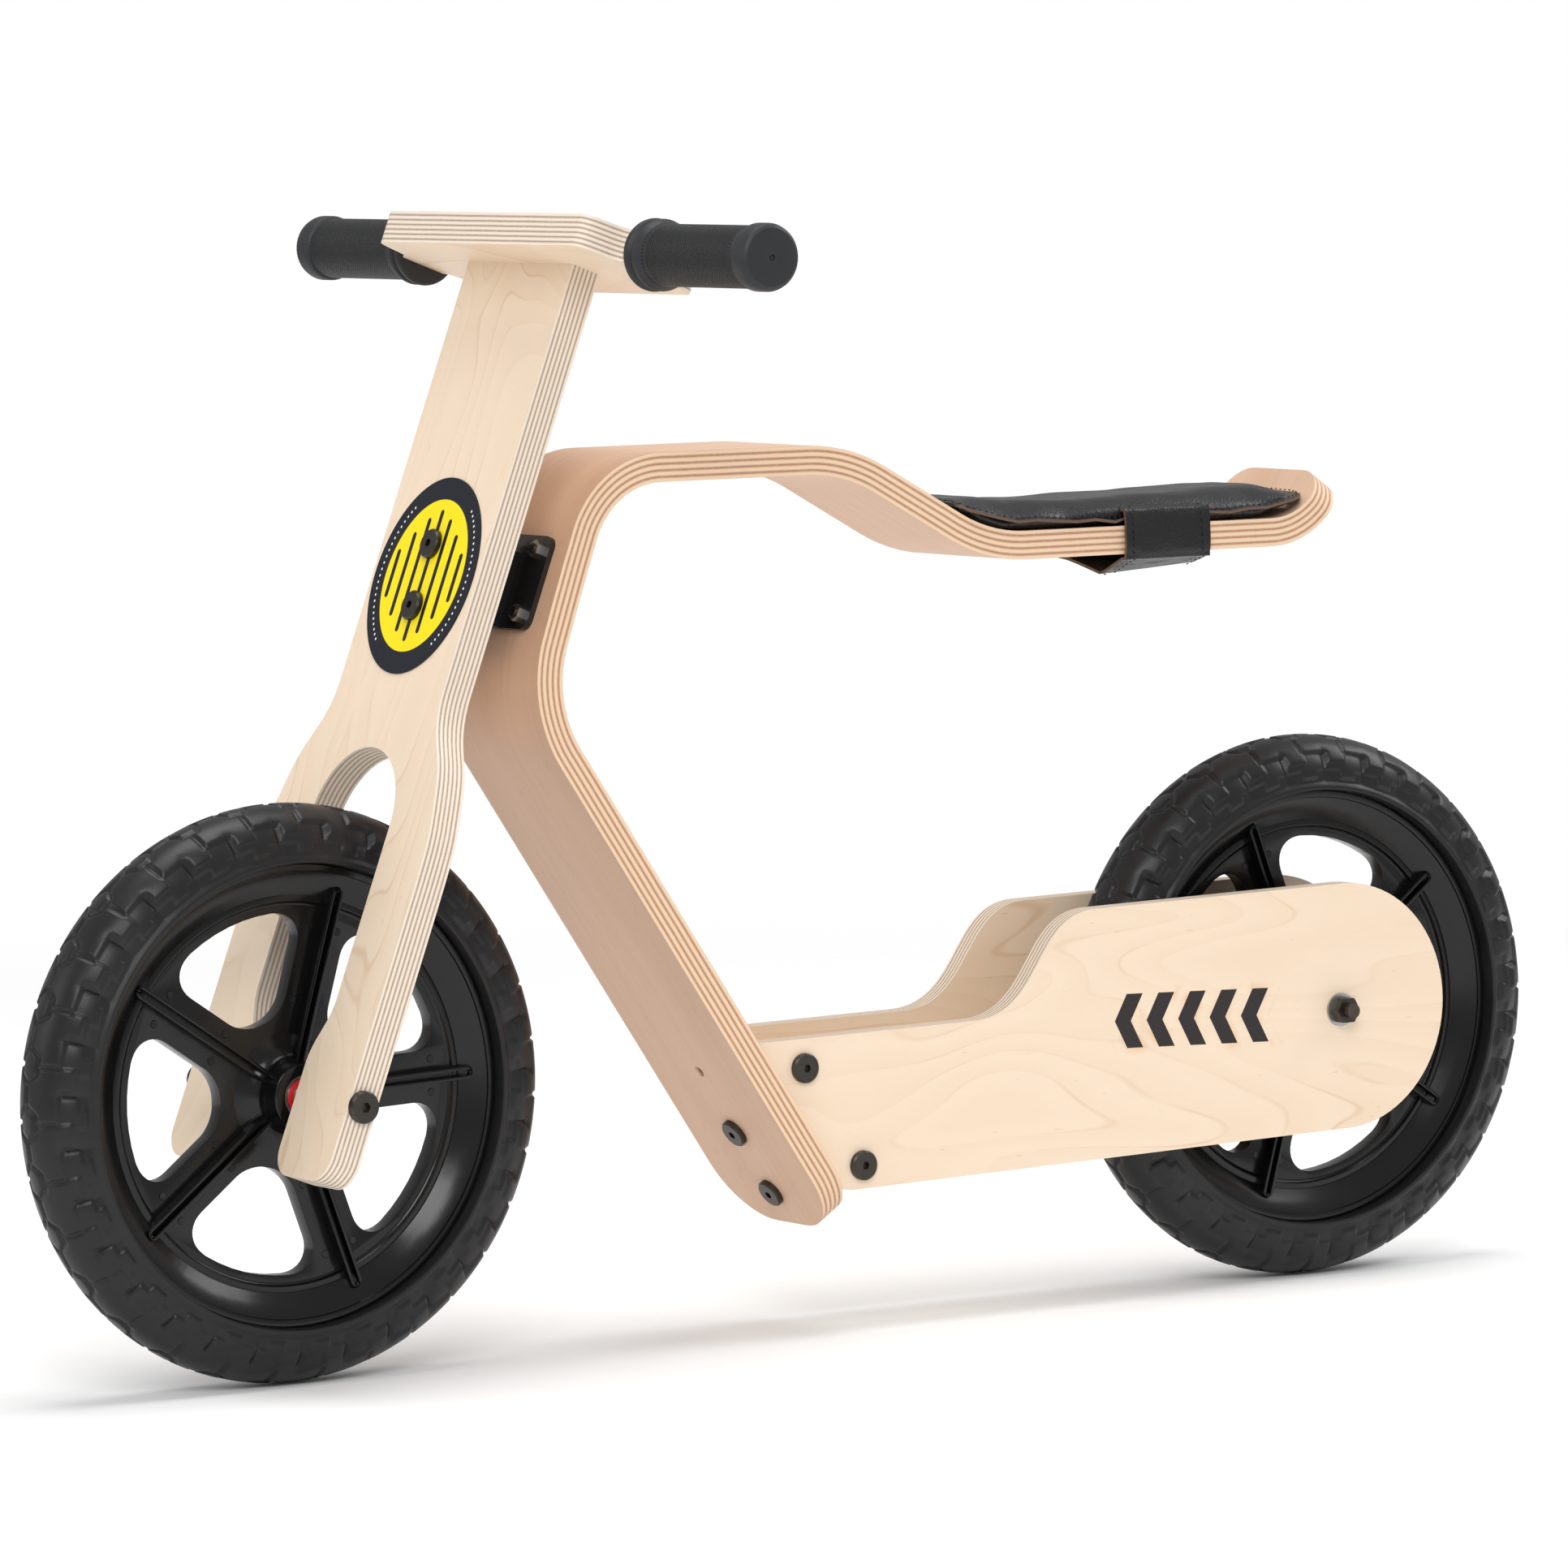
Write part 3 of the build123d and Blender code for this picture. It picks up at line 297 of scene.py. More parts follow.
def beech():
    shader = Shader("bentBeech")
    depth = depthInBend(shader) / bentFrame["thick"]
    onSide = abs(shader.facing.along((0, 1, 0))).ease(0.6, 0.75)
    endGrain = (depth.ease(0.05, 0.12) * depth.ease(0.95, 0.88)) * (1.0 - onSide)
    edge, glue = layers(shader, depth, bentFrame["layers"], beechLook)
    fibre = shader.drawn((9, 260, 9), 1.0, 4.0, 0.6)
    broad = shader.drawn((3, 30, 3), 1.0, 2.0, 0.5)
    pore = shader.drawn((90, 900, 90), 1.0, 2.0).ease(0.66, 0.74)
    face = shader.mix((broad - 0.35).most(0.0) * 1.3, beechLook["face"], beechLook["faceDeep"])
    face = shader.mix((fibre - 0.42).most(0.0) * 0.9, face, beechLook["faceDeep"])
    face = shader.mix(pore * 0.25, face, beechLook["glue"])
    onEdge = onSide.most(endGrain)
    colour = shader.mix(onEdge, face, edge)
    height = fibre * 0.5 - pore * 0.4 - onEdge * glue * 3.0
    return shader.finish(colour, 0.44 + fibre * 0.1 + onEdge * 0.1, normal=shader.bump(height, 0.0001, 0.6))


# the dark printed mark on each stay: a row of chevrons
stayMark = {
    "centre": (-0.217, 0.1495),
    "long": 0.104,
    "tall": 0.029,
    "count": 5,
    "stroke": 0.0105,
    "tilt": radians(-2),
    "sweep": 0.55,
    "halo": 0.0045,
}


def chevrons(shader):
    halfLong, halfTall, halfStroke = stayMark["long"] / 2, stayMark["tall"] / 2, stayMark["stroke"] / 2
    x = shader.part(0) - stayMark["centre"][0]
    z = shader.part(2) - stayMark["centre"][1] + x * tan(stayMark["tilt"])
    step = stayMark["long"] / stayMark["count"]
    rise = abs(z)
    swept = x + rise * stayMark["sweep"]
    within = abs((swept / step + 0.5) % 1.0 - 0.5) * step
    shape = within.under(halfStroke, 0.0002) * abs(swept).under(halfLong, 0.0001) * rise.under(halfTall, 0.0002)
    away = (within - halfStroke).most(rise - halfTall).most(abs(swept) - halfLong)
    halo = away.ease(stayMark["halo"], 0.0) * shader.cloud(60.0).ease(0.45, 0.65)
    return shape, halo


# metals, plastics, rubber
def steel(name, colour, rough, metal=1.0, thread=None):
    shader = Shader(name)
    wear = shader.cloud(260.0, 4.0, 0.65)
    broad = shader.cloud(45.0, 2.0)
    worn = (wear - 0.4).most(0.0) * 0.8 + (broad - 0.5) * 0.2
    shade = shader.mix(worn, colour, shaded(colour, 1.7, 0.01))
    height = wear
    if thread:                       # fine turns cut along the shank
        height = height + abs((shader.place.along(thread) / 0.00125) % 1.0 - 0.5) * 6.0
    return shader.finish(shade, rough + (wear - 0.5) * 0.15, metal, shader.bump(height, 0.00006, 0.6))


def enamel(name, colour, rough, peel=0.5):
    shader = Shader(name)
    orange = shader.cloud(700.0, 2.0)
    broad = shader.cloud(30.0, 2.0)
    shade = shader.mix((broad - 0.4).most(0.0) * 0.5, colour, shaded(colour, 0.82))
    normal = shader.bump(orange, 0.00008, peel)
    return shader.finish(shade, rough + (orange - 0.5) * 0.1, normal=normal, coat_weight=0.15)


def mouldedPlastic(name, colour, rough):
    shader = Shader(name)
    flow = shader.cloud(24.0, 3.0, 0.6, 0.6)
    fine = shader.cloud(900.0, 2.0)
    scuff = shader.cloud(160.0, 5.0, 0.75).ease(0.62, 0.8)
    shade = shader.mix(flow * 0.3, colour, shaded(colour, 1.6, 0.001))
    rough = rough + (flow - 0.5) * 0.14 + scuff * 0.12
    normal = shader.bump(flow * 3.0 + fine * 0.25, 0.00012, 0.5)
    return shader.finish(shade, rough, normal=normal, specular_ior_level=0.36)


def foamRubber():
    shader = Shader("tyreFoam")
    fine = shader.cloud(1300.0, 3.0, 0.7)
    skin = shader.cloud(60.0, 3.0, 0.55)
    cell = shader.cells(1500.0)
    dust = shader.cloud(16.0, 3.0, 0.6).ease(0.5, 0.8)
    shade = shader.mix(skin * 0.6, tint(22, 22, 24), tint(34, 34, 36))
    shade = shader.mix(dust * 0.15, shade, tint(60, 59, 58))
    rough = 0.37 + (fine - 0.5) * 0.14 + dust * 0.08
    normal = shader.bump(fine * 0.6 + cell * 0.4 + skin * 1.6, 0.0001, 0.5)
    return shader.finish(shade, rough, normal=normal, specular_ior_level=0.34)


def gripRubber(side):
    shader = Shader("gripRubber" + ("Left" if side > 0 else "Right"))
    spot = shader.place.shift(-(frontHub + plateUp * headSizes["barMiddle"]))
    across = spot.along(plateOut)
    up = spot.along(plateUp)
    reach = spot.along((0, side, 0))
    out = reach - gripSizes["start"]
    turn = up.turnFrom(across) / (2 * pi)
    rows = gripSizes["rows"]
    one = (turn * rows + reach * 10 * rows) % 1.0
    two = (turn * rows - reach * 10 * rows) % 1.0
    diamonds = abs(one - 0.5).least(abs(two - 0.5)).ease(0.0, 0.22)
    first, last = gripSizes["knurl"]
    radius = (across * across + up * up) ** 0.5
    onBand = radius.above(gripSizes["body"]) * out.ease(first - 0.0005, first + 0.0005) * out.under(last, 0.0005)
    dashes = (turn * gripSizes["dashes"] % 1.0).ease(0.3, 0.45)
    dots = (abs(out - 0.0145).under(0.0007, 0.0002) + abs(out - 0.0922).under(0.00055, 0.00015)) * dashes
    fine = shader.cloud(1100.0, 2.0)
    # painted shade: the knurl's sunken diamonds are coloured darker than the raised lines between them
    shade = shader.mix(diamonds * onBand * 0.8, tint(40, 41, 44), tint(17, 18, 20))
    # painted shade: the sunken dashed rings are coloured darker as well
    shade = shader.mix(dots * 0.8, shade, tint(17, 17, 18))
    normal = shader.bump((1.0 - diamonds) * onBand * 3.5 - dots * 4.0 + fine * 0.4, 0.00028)
    return shader.finish(shade, 0.5 + (fine - 0.5) * 0.1, normal=normal, specular_ior_level=0.4)


def leatherette(name, rawAxis=None):
    shader = Shader(name)
    grain = shader.cells(720.0)
    crease = shader.drawn((34, 110, 60), 1.0, 3.0, 0.6, 1.2)
    broad = shader.cloud(18.0, 2.0)
    shade = shader.mix(broad * 0.6, tint(18, 18, 20), tint(31, 31, 34))
    rough = 0.3 + (crease - 0.5) * 0.24 + grain * 0.1
    if rawAxis:                      # the cut edge shows its brown backing
        raw = abs(shader.facing.along(rawAxis)).ease(0.7, 0.85)
        shade = shader.mix(raw, shade, tint(104, 78, 62))
        rough = rough + raw * 0.3
    height = grain * 0.8 + crease * 2.2 + broad * 2.5
    return shader.finish(shade, rough, normal=shader.bump(height, 0.00025, 0.7), specular_ior_level=0.42)


def plainFibre(name, colour, deep):
    shader = Shader(name)
    twist = shader.drawn((900, 300, 900), 1.0, 3.0, 0.6)
    shade = shader.mix(twist, colour, deep)
    return shader.finish(shade, 0.7 + (twist - 0.5) * 0.1, normal=shader.bump(twist, 0.00012, 0.8))


# the oval print on the fork plate; field and dots are shares of the oval
badgeSizes = {
    "high": 0.2725,
    "halfWide": 0.047,
    "halfTall": 0.0525,
    "field": 0.775,
    "dots": 0.885,
    "dotCount": 84,
    "bars": [(0.0, 0.0352), (0.01, 0.0305), (0.02, 0.0225), (0.03, 0.013)],
    "barHalf": 0.0016,
}


def badgePrint():
    shader = Shader("badgePrint")
    spot = shader.place.shift(-(frontHub + plateUp * badgeSizes["high"]))
    across = spot.along((0, 1, 0))
    up = spot.along(plateUp)
    wide = across / badgeSizes["halfWide"]
    tall = up / badgeSizes["halfTall"]
    ringReach = (wide * wide + tall * tall) ** 0.5
    field = ringReach.under(badgeSizes["field"], 0.006)
    turn = wide.turnFrom(tall) / (2 * pi)
    share = abs(turn * badgeSizes["dotCount"] % 1.0 - 0.5) * (2 * pi * 0.044 / badgeSizes["dotCount"])
    drop = (ringReach - badgeSizes["dots"]) * 0.0495
    dot = ((share * share + drop * drop) ** 0.5).ease(0.00078, 0.0005)
    aside = abs(wide / ringReach.most(0.01)).ease(0.60, 0.64)
    dots = dot * aside
    bars = None
    for offset, reach in badgeSizes["bars"]:
        out = abs(abs(across) - offset)
        over = (abs(up) - reach + badgeSizes["barHalf"]).most(0.0)
        bar = ((out * out + over * over) ** 0.5).under(badgeSizes["barHalf"], 0.00015)
        bars = bar if bars is None else bars.most(bar)
    fine = shader.cloud(500.0, 2.0)
    yellow = shader.mix(fine * 0.12, tint(255, 229, 0), tint(236, 204, 0))
    navy = shader.mix(fine * 0.2, tint(9, 15, 29), tint(18, 25, 40))
    colour = shader.mix(field, navy, yellow)
    colour = shader.mix(bars * field, colour, tint(9, 15, 30))
    colour = shader.mix(dots, colour, tint(240, 240, 238))
    normal = shader.bump(fine, 0.00004, 0.5)
    return shader.finish(colour, 0.38 + fine * 0.06, normal=normal, specular_ior_level=0.3)


# making pieces
def newObject(name, data):
    made = bpy.data.objects.new(name, data)
    bpy.context.scene.collection.objects.link(made)
    return made


def newPiece(name, mesh, body, material, stands, sharp=35):
    bmesh.ops.recalc_face_normals(mesh, faces=mesh.faces)
    for face in mesh.faces:
        face.smooth = True
    for edge in mesh.edges:
        edge.smooth = not (edge.is_manifold and edge.calc_face_angle(0) > radians(sharp))
    data = bpy.data.meshes.new(name)
    mesh.to_mesh(data)
    mesh.free()
    data.materials.append(material)
    made = newObject(name, data)
    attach(made, body)
    if stands:
        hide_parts(*stands)
    return made


def bevel(mesh, geom, offset, segments, affect="EDGES", clamp=False):
    bmesh.ops.bevel(mesh, geom=geom, offset=offset, offset_type="OFFSET", segments=segments, profile=0.5,
                    affect=affect, material=-1, clamp_overlap=clamp)


def turnAll(mesh, turn, axis="Y"):
    bmesh.ops.rotate(mesh, verts=mesh.verts, cent=(0, 0, 0), matrix=Matrix.Rotation(turn, 3, axis))


def moveAll(mesh, move):
    bmesh.ops.translate(mesh, verts=mesh.verts, vec=move)


def newVerts(made):
    return [part for part in made["geom"] if isinstance(part, bmesh.types.BMVert)]


def sharpEdges(mesh, least):
    return [e for e in mesh.edges if e.is_manifold and e.calc_face_angle(0) > radians(least)]


def spun(profile, steps, closed=True):     # a profile of (radius, height) turned about its axis
    mesh = bmesh.new()
    points = [mesh.verts.new((radius, height, 0)) for radius, height in profile]
    count = len(points)
    pairs = [(points[i], points[(i + 1) % count]) for i in range(count if closed else count - 1)]
    edges = [mesh.edges.new(pair) for pair in pairs]
    bmesh.ops.spin(mesh, geom=points + edges, cent=(0, 0, 0), axis=(0, 1, 0), dvec=(0, 0, 0),
                   angle=2 * pi, steps=steps, use_merge=True)
    bmesh.ops.remove_doubles(mesh, verts=mesh.verts, dist=1e-6)
    return mesh


def smoothStep(value, start, end):
    share = min(1.0, max(0.0, (value - start) / (end - start)))
    return share * share * (3 - 2 * share)


# tyres
tyre = {
    "middle": 0.1235,       # radius of the tread's own centre line
    "round": 0.0235,        # radius of its round section
    "pitches": 31,
    "stepsPerPitch": 30,
    "halfTurn": radians(103.5),
    "groove": 1.35,         # depths in mm
    "crown": 1.2,
    "shoulder": 1.05,
    "scallop": 1.3,
    "tab": 0.7,
}
tyreLip = [(0.1182, 0.0226), (0.1177, 0.0218), (0.1176, 0.0155), (0.1176, 0.0123), (0.111, 0.012)]


def nearLine(point, start, end):
    px, py = point[0] - start[0], point[1] - start[1]
    lx, ly = end[0] - start[0], end[1] - start[1]
    share = min(1.0, max(0.0, (px * lx + py * ly) / (lx * lx + ly * ly)))
    return hypot(px - lx * share, py - ly * share)


# one pitch of tread grooves: (across from the centre line, along the tread), mm
pitch = 1000 * 2 * pi * (tyre["middle"] + tyre["round"]) / tyre["pitches"]
treadLines = [
    ((0, -9.5), (7, -4.4)), ((7, -4.4), (7, 4.4)), ((7, 4.4), (0, 9.5)),
    ((0, 9.5), (0, pitch - 9.5)), ((7, 0), (19.6, 0)),
]


def treadDepth(across, along):         # mm of depth at a place on the tread
    across = abs(across)
    nearest = 99.0
    for start, end in treadLines:
        for place in (along + pitch, along, along - pitch):
            nearest = min(nearest, nearLine((across, place), start, end))
    depth = tyre["groove"] * (1 - smoothStep(nearest, 0.6, 1.7))
    place = (along + pitch / 2) % pitch - pitch / 2
    tongue = 27.0 if -12 <= place <= 0.2 else 20.0
    crown = smoothStep(across, tongue - 0.5, tongue + 0.9)
    tab = 36.0 if -3 <= place <= 8 else 31.0
    second = smoothStep(across, tab - 0.5, tab + 0.9)
    sides = min(smoothStep(place, -12.6, -11.4), 1 - smoothStep(place, -0.4, 0.8))
    if 20 < across < 27:
        crown = max(smoothStep(across, 19.5, 20.9) * (1 - sides), smoothStep(across, 26.5, 27.9))
    tabSides = min(smoothStep(place, -3.6, -2.4), 1 - smoothStep(place, 7.4, 8.6))
    if 31 < across < 36:
        second = max(smoothStep(across, 30.5, 31.9) * (1 - tabSides), smoothStep(across, 35.5, 36.9))
    depth = max(depth * (1 - crown), tyre["crown"] * crown) + tyre["shoulder"] * second
    wide = smoothStep(across, 14, 24) * (1 - smoothStep(across, 33, 41))
    depth += tyre["scallop"] * (abs(place) / 14.9) ** 3 * wide
    if 20.5 < across < 31:
        depth += tyre["tab"] * (1 - smoothStep(pitch / 2 - abs(place), 0.3, 1.3))
    return depth


def makeTyre(node, body, centre, turned):
    outline = []
    half = tyre["halfTurn"]
    count = 72
    for index in range(count + 1):
        turn = -half + 2 * half * index / count
        outline.append((tyre["middle"] + tyre["round"] * cos(turn), tyre["round"] * sin(turn)))
    outline += tyreLip + [(r, -y) for r, y in reversed(tyreLip)]
    mesh = spun(outline, tyre["pitches"] * tyre["stepsPerPitch"])
    step = 2 * pi / tyre["pitches"]
    known = {}
    for vert in mesh.verts:
        reach = hypot(vert.co.x, vert.co.z)
        turn = atan2(vert.co.y, reach - tyre["middle"])
        if abs(turn) > half + 0.01 or reach < 0.1176:
            continue
        along = (atan2(vert.co.z, vert.co.x) / step) % 1.0 * pitch
        across = abs(turn) * tyre["round"] * 1000
        key = (round(across, 2), round(along, 2))
        if key not in known:
            known[key] = treadDepth(across, along)
        fade = 1 - smoothStep(across, 38, 41)
        move = 0.00008 + known[key] * 0.001 * fade
        outward = Vector((vert.co.x / reach * cos(turn), sin(turn), vert.co.z / reach * cos(turn)))
        vert.co -= outward * move
    turnAll(mesh, turned)
    moveAll(mesh, centre)
    newPiece(node + "Tread", mesh, body, foam, [node], sharp=50)


foam = foamRubber()
makeTyre("front_tyre", "front_wheel", frontHub, 0.03)
makeTyre("rear_tyre", "rear_wheel", rearHub, 0.11)
print("tyres")


# rims
rim = {
    "spokes": 5,
    "webHalf": 0.0045,
    "windowInner": 0.040,
    "windowOuter": 0.092,
    "spokeWide": 0.026,
    "ridgeHalf": 0.0032,      # half the width of a spoke's raised channel
    "ridgeWall": 0.0016,
    "ridgeHigh": 0.0112,
    "ridgeStart": 0.0155,
    "ridgeEnd": 0.1065,
    "ridgeFloor": 0.0062,
    "round": 0.0011,
    "dots": [(0.0855, 0.0085), (0.0855, -0.0085), (0.047, 0.0078), (0.047, -0.0078)],
}
barrelSide = [
    (0.0956, 0.0046), (0.0965, 0.0049), (0.0971, 0.0058), (0.0976, 0.0064), (0.0998, 0.0066), (0.1008, 0.0062),
    (0.1060, 0.0098), (0.1112, 0.0132), (0.1132, 0.0140), (0.1136, 0.0148), (0.1144, 0.0150), (0.1166, 0.0150),
    (0.1170, 0.0146), (0.1170, 0.0121), (0.1110, 0.0120),
]
hubSide = [
    (0.0077, 0.0148), (0.0110, 0.0150), (0.0110, 0.0214), (0.0116, 0.0220), (0.0160, 0.0220), (0.0166, 0.0216),
    (0.0168, 0.0190), (0.0172, 0.0150), (0.0182, 0.0110), (0.0205, 0.0078), (0.0250, 0.0056), (0.0310, 0.0044),
]


def roundedWindow(spokeTurn):
    # the window's outline between two spokes, its corners rounded, as a flat face
    half = rim["spokeWide"] / 2
    inner = pi / rim["spokes"] - asin(half / rim["windowInner"])
    outer = pi / rim["spokes"] - asin(half / rim["windowOuter"])
    mesh = bmesh.new()
    outline = []
    for turn in (-inner, inner):
        outline.append((rim["windowInner"] * cos(turn), rim["windowInner"] * sin(turn)))
    arc = outer - 0.21
    for turn in [outer] + [arc - 2 * arc * index / 6 for index in range(7)] + [-outer]:
        outline.append((rim["windowOuter"] * cos(turn), rim["windowOuter"] * sin(turn)))
    verts = [mesh.verts.new((x, 0, z)) for x, z in outline]
    mesh.faces.new(verts)
    bevel(mesh, verts[:2], 0.0100, 8, "VERTICES")
    mesh.verts.ensure_lookup_table()
    far = [v for v in mesh.verts if hypot(v.co.x, v.co.z) > rim["windowOuter"] - 0.0005
           and abs(abs(atan2(v.co.z, v.co.x)) - outer) < 0.01]
    bevel(mesh, far, 0.0170, 9, "VERTICES")
    turnAll(mesh, -spokeTurn - pi / rim["spokes"])
    return mesh


def loose(name, mesh):                # a plain object for a boolean
    data = bpy.data.meshes.new(name)
    mesh.to_mesh(data)
    mesh.free()
    return newObject(name, data)


def applyAll(target):
    depsgraph = bpy.context.evaluated_depsgraph_get()
    data = bpy.data.meshes.new_from_object(target.evaluated_get(depsgraph))
    mesh = bmesh.new()
    mesh.from_mesh(data)
    bpy.data.meshes.remove(data)
    bpy.data.objects.remove(target)
    return mesh


def makeRim(node, body, centre, spokeTurn):
    # the web: a disc less its windows, its edges rounded
    half = rim["webHalf"]
    web = loose("web", spun([(0.0105, -half), (0.0105, half), (0.0966, half), (0.0966, -half)], 160))
    cutters = []
    for index in range(rim["spokes"]):
        window = roundedWindow(spokeTurn + index * 2 * pi / rim["spokes"])
        far = newVerts(bmesh.ops.extrude_face_region(window, geom=window.faces[:]))
        moveAll(window, (0, -0.02, 0))
        bmesh.ops.translate(window, verts=far, vec=(0, 0.04, 0))
        bmesh.ops.recalc_face_normals(window, faces=window.faces)
        cutter = loose("window", window)
        cutters.append(cutter)
        cut = web.modifiers.new("window", "BOOLEAN")
        cut.operation = "DIFFERENCE"
        cut.solver = "EXACT"
        cut.object = cutter
    whole = applyAll(web)
    for cutter in cutters:
        bpy.data.objects.remove(cutter)
    bmesh.ops.remove_doubles(whole, verts=whole.verts, dist=1e-5)
    bmesh.ops.dissolve_limit(whole, angle_limit=radians(0.5), verts=whole.verts, edges=whole.edges)
    lips = [e for e in sharpEdges(whole, 60) if all(0.03 < hypot(v.co.x, v.co.z) < 0.0945 for v in e.verts)]
    bevel(whole, lips, rim["round"], 3, clamp=True)
    # barrel and hub, spun
    for side in (barrelSide, hubSide):
        join(whole, spun(side + [(r, -y) for r, y in reversed(side)], 180))
    # raised channels and ejector dots
    for index in range(rim["spokes"]):
        turn = spokeTurn + index * 2 * pi / rim["spokes"]
        for side in (-1, 1):
            channel = makeChannel()
            if side < 0:
                everything = channel.verts[:] + channel.edges[:] + channel.faces[:]
                bmesh.ops.mirror(channel, geom=everything, axis="Y", merge_dist=-1)
                old = [v for v in channel.verts if v.co.y > 0]
                bmesh.ops.delete(channel, geom=old, context="VERTS")
            turnAll(channel, -turn)
            join(whole, channel)
            for reach, shift in rim["dots"]:
                dot = bmesh.new()
                bmesh.ops.create_cone(dot, cap_ends=True, segments=20, radius1=0.0021, radius2=0.0018, depth=0.0004,
                                      matrix=Matrix.Rotation(-side * pi / 2, 4, "X"))
                moveAll(dot, (reach, side * (half + 0.00015), shift))
                turnAll(dot, -turn)
                join(whole, dot)
    moveAll(whole, centre)
    newPiece(node + "Moulding", whole, body, rimPlastic, [node], sharp=40)


def join(target, extra):
    data = bpy.data.meshes.new("part")
    extra.to_mesh(data)
    extra.free()
    target.from_mesh(data)
    bpy.data.meshes.remove(data)


def makeChannel():
    # a double-walled rib along a spoke: a rounded bar with its top hollowed between the walls
    half, high = rim["ridgeHalf"], rim["ridgeHigh"]
    start, end, foot = rim["ridgeStart"], rim["ridgeEnd"], 0.003
    mesh = bmesh.new()
    bmesh.ops.create_cube(mesh, size=1.0)
    bmesh.ops.scale(mesh, verts=mesh.verts, vec=(end - start, high - foot, 2 * half))
    moveAll(mesh, ((start + end) / 2, (high + foot) / 2, 0))
    ends = [e for e in mesh.edges if all(abs(v.co.x - end) < 1e-6 for v in e.verts)
            and abs(e.verts[0].co.z - e.verts[1].co.z) < 1e-6]
    bevel(mesh, ends, half * 0.97, 6)
    mesh.faces.ensure_lookup_table()
    top = max(mesh.faces, key=lambda f: f.calc_center_median().y)
    bmesh.ops.inset_region(mesh, faces=[top], thickness=rim["ridgeWall"], depth=0, use_even_offset=True)
    down = newVerts(bmesh.ops.extrude_face_region(mesh, geom=[top]))
    bmesh.ops.delete(mesh, geom=[top], context="FACES_ONLY")
    bmesh.ops.translate(mesh, verts=down, vec=(0, rim["ridgeFloor"] - high, 0))
    edges = [e for e in sharpEdges(mesh, 60) if all(abs(v.co.y - high) < 1e-6 for v in e.verts)]
    bevel(mesh, edges, 0.0004, 2, clamp=True)
    return mesh


rimPlastic = mouldedPlastic("rimPlastic", tint(10, 10, 11), 0.2)
makeRim("front_rim", "front_wheel", frontHub, radians(178))
makeRim("rear_rim", "rear_wheel", rearHub, radians(-2))
print("rims")


# grips
gripProfile = [
    (0.0, 0.0), (0.0173, 0.0), (0.0183, 0.0008), (0.0185, 0.0020), (0.0182, 0.0034), (0.0170, 0.0042),
    (0.0162, 0.0046), (0.0161, 0.0066), (0.0170, 0.0072), (0.0180, 0.0080), (0.0182, 0.0094), (0.0178, 0.0110),
    (0.0166, 0.0126), (0.0159, 0.0145), (0.0157, 0.0160), (0.0157, 0.0300), (0.0157, 0.0550), (0.0157, 0.0800),
    (0.0157, 0.0932), (0.0150, 0.0936), (0.0150, 0.0946), (0.0164, 0.0952), (0.0170, 0.0965), (0.0170, 0.1040),
    (0.0163, 0.1062), (0.0145, 0.1074), (0.0060, 0.1078), (0.0016, 0.1078), (0.0014, 0.1065), (0.0, 0.1060),
]


def makeGrip(node, side):
    mesh = spun(gripProfile, 96, closed=False)
    bevel(mesh, sharpEdges(mesh, 25), 0.00022, 2, clamp=True)
    if side < 0:
        turnAll(mesh, pi, "X")
    moveAll(mesh, (0, side * gripSizes["start"], headSizes["barMiddle"]))
    bmesh.ops.transform(mesh, matrix=forkPlace, verts=mesh.verts)
    newPiece(node + "Rubber", mesh, "steering", gripRubber(side), [node], sharp=30)


makeGrip("left_grip", 1)
makeGrip("right_grip", -1)
print("grips")


# seat pad
strapMiddle = -0.2045
seatPad = {
    "front": -0.070,
    "rear": -0.2965,
    "halfWide": 0.0415,
    "voxel": 0.0045,
    "swell": 0.0050,        # the most a point may move while it fills
    "give": 0.0007,         # and the most sideways
    "corner": 0.011,
    "flange": 0.0042,       # its sewn edge's width, past the cushion
    "overlap": 0.0050,      # and how far it reaches under the cushion
    "flangeThick": 0.0015,
    "stitchStep": 0.0040,
    "pressure": 4.0,
    "mass": 0.3,
    "stretch": 25,
    "bend": 0.6,
    "frames": 20,
    "highest": 0.4325,
    "widest": 0.0438,       # half the width it may reach
    "edgeWidest": 0.0452,
}
seatPad["long"] = seatPad["front"] - seatPad["rear"]
seatPad["middle"] = (seatPad["front"] + seatPad["rear"]) / 2
# (place along the seat, height) of the sewn edge and of the cushion's top before it fills
seamLine = [
    (-0.306, 0.4300), (-0.296, 0.4262), (-0.286, 0.4240), (-0.270, 0.4222), (-0.240, 0.4206), (-0.200, 0.4194),
    (-0.140, 0.4196), (-0.100, 0.4222), (-0.080, 0.4275), (-0.062, 0.4355),
]
topLine = [
    (-0.300, 0.4285), (-0.280, 0.4272), (-0.240, 0.4262), (-0.200, 0.4250), (-0.150, 0.4240), (-0.110, 0.4247),
    (-0.080, 0.4282), (-0.060, 0.4320),
]


def hold(value, limit):
    return max(-limit, min(limit, value))


def between(line, value):            # a line of (place, height) read at a place
    if value <= line[0][0]:
        return line[0][1]
    for (x0, z0), (x1, z1) in zip(line, line[1:]):
        if value <= x1:
            share = (value - x0) / (x1 - x0)
            return z0 + (z1 - z0) * share
    return line[-1][1]


def seamHeight(x):                   # a soft reading of the seam line
    spots = [between(seamLine, x + step) for step in (-0.012, -0.006, 0, 0.006, 0.012)]
    return sum(spots) / 5 + 0.0006 * sin(x * 190) + 0.0004 * sin(x * 420 + 1)


def meshOf(name):
    source = bmesh.new()
    source.from_mesh(nodes[name].data)
    bmesh.ops.remove_doubles(source, verts=source.verts, dist=1e-5)
    tree = BVHTree.FromBMesh(source)
    source.free()
    return tree


beamTree = meshOf("bent_frame")
beamHalf = 0.0405


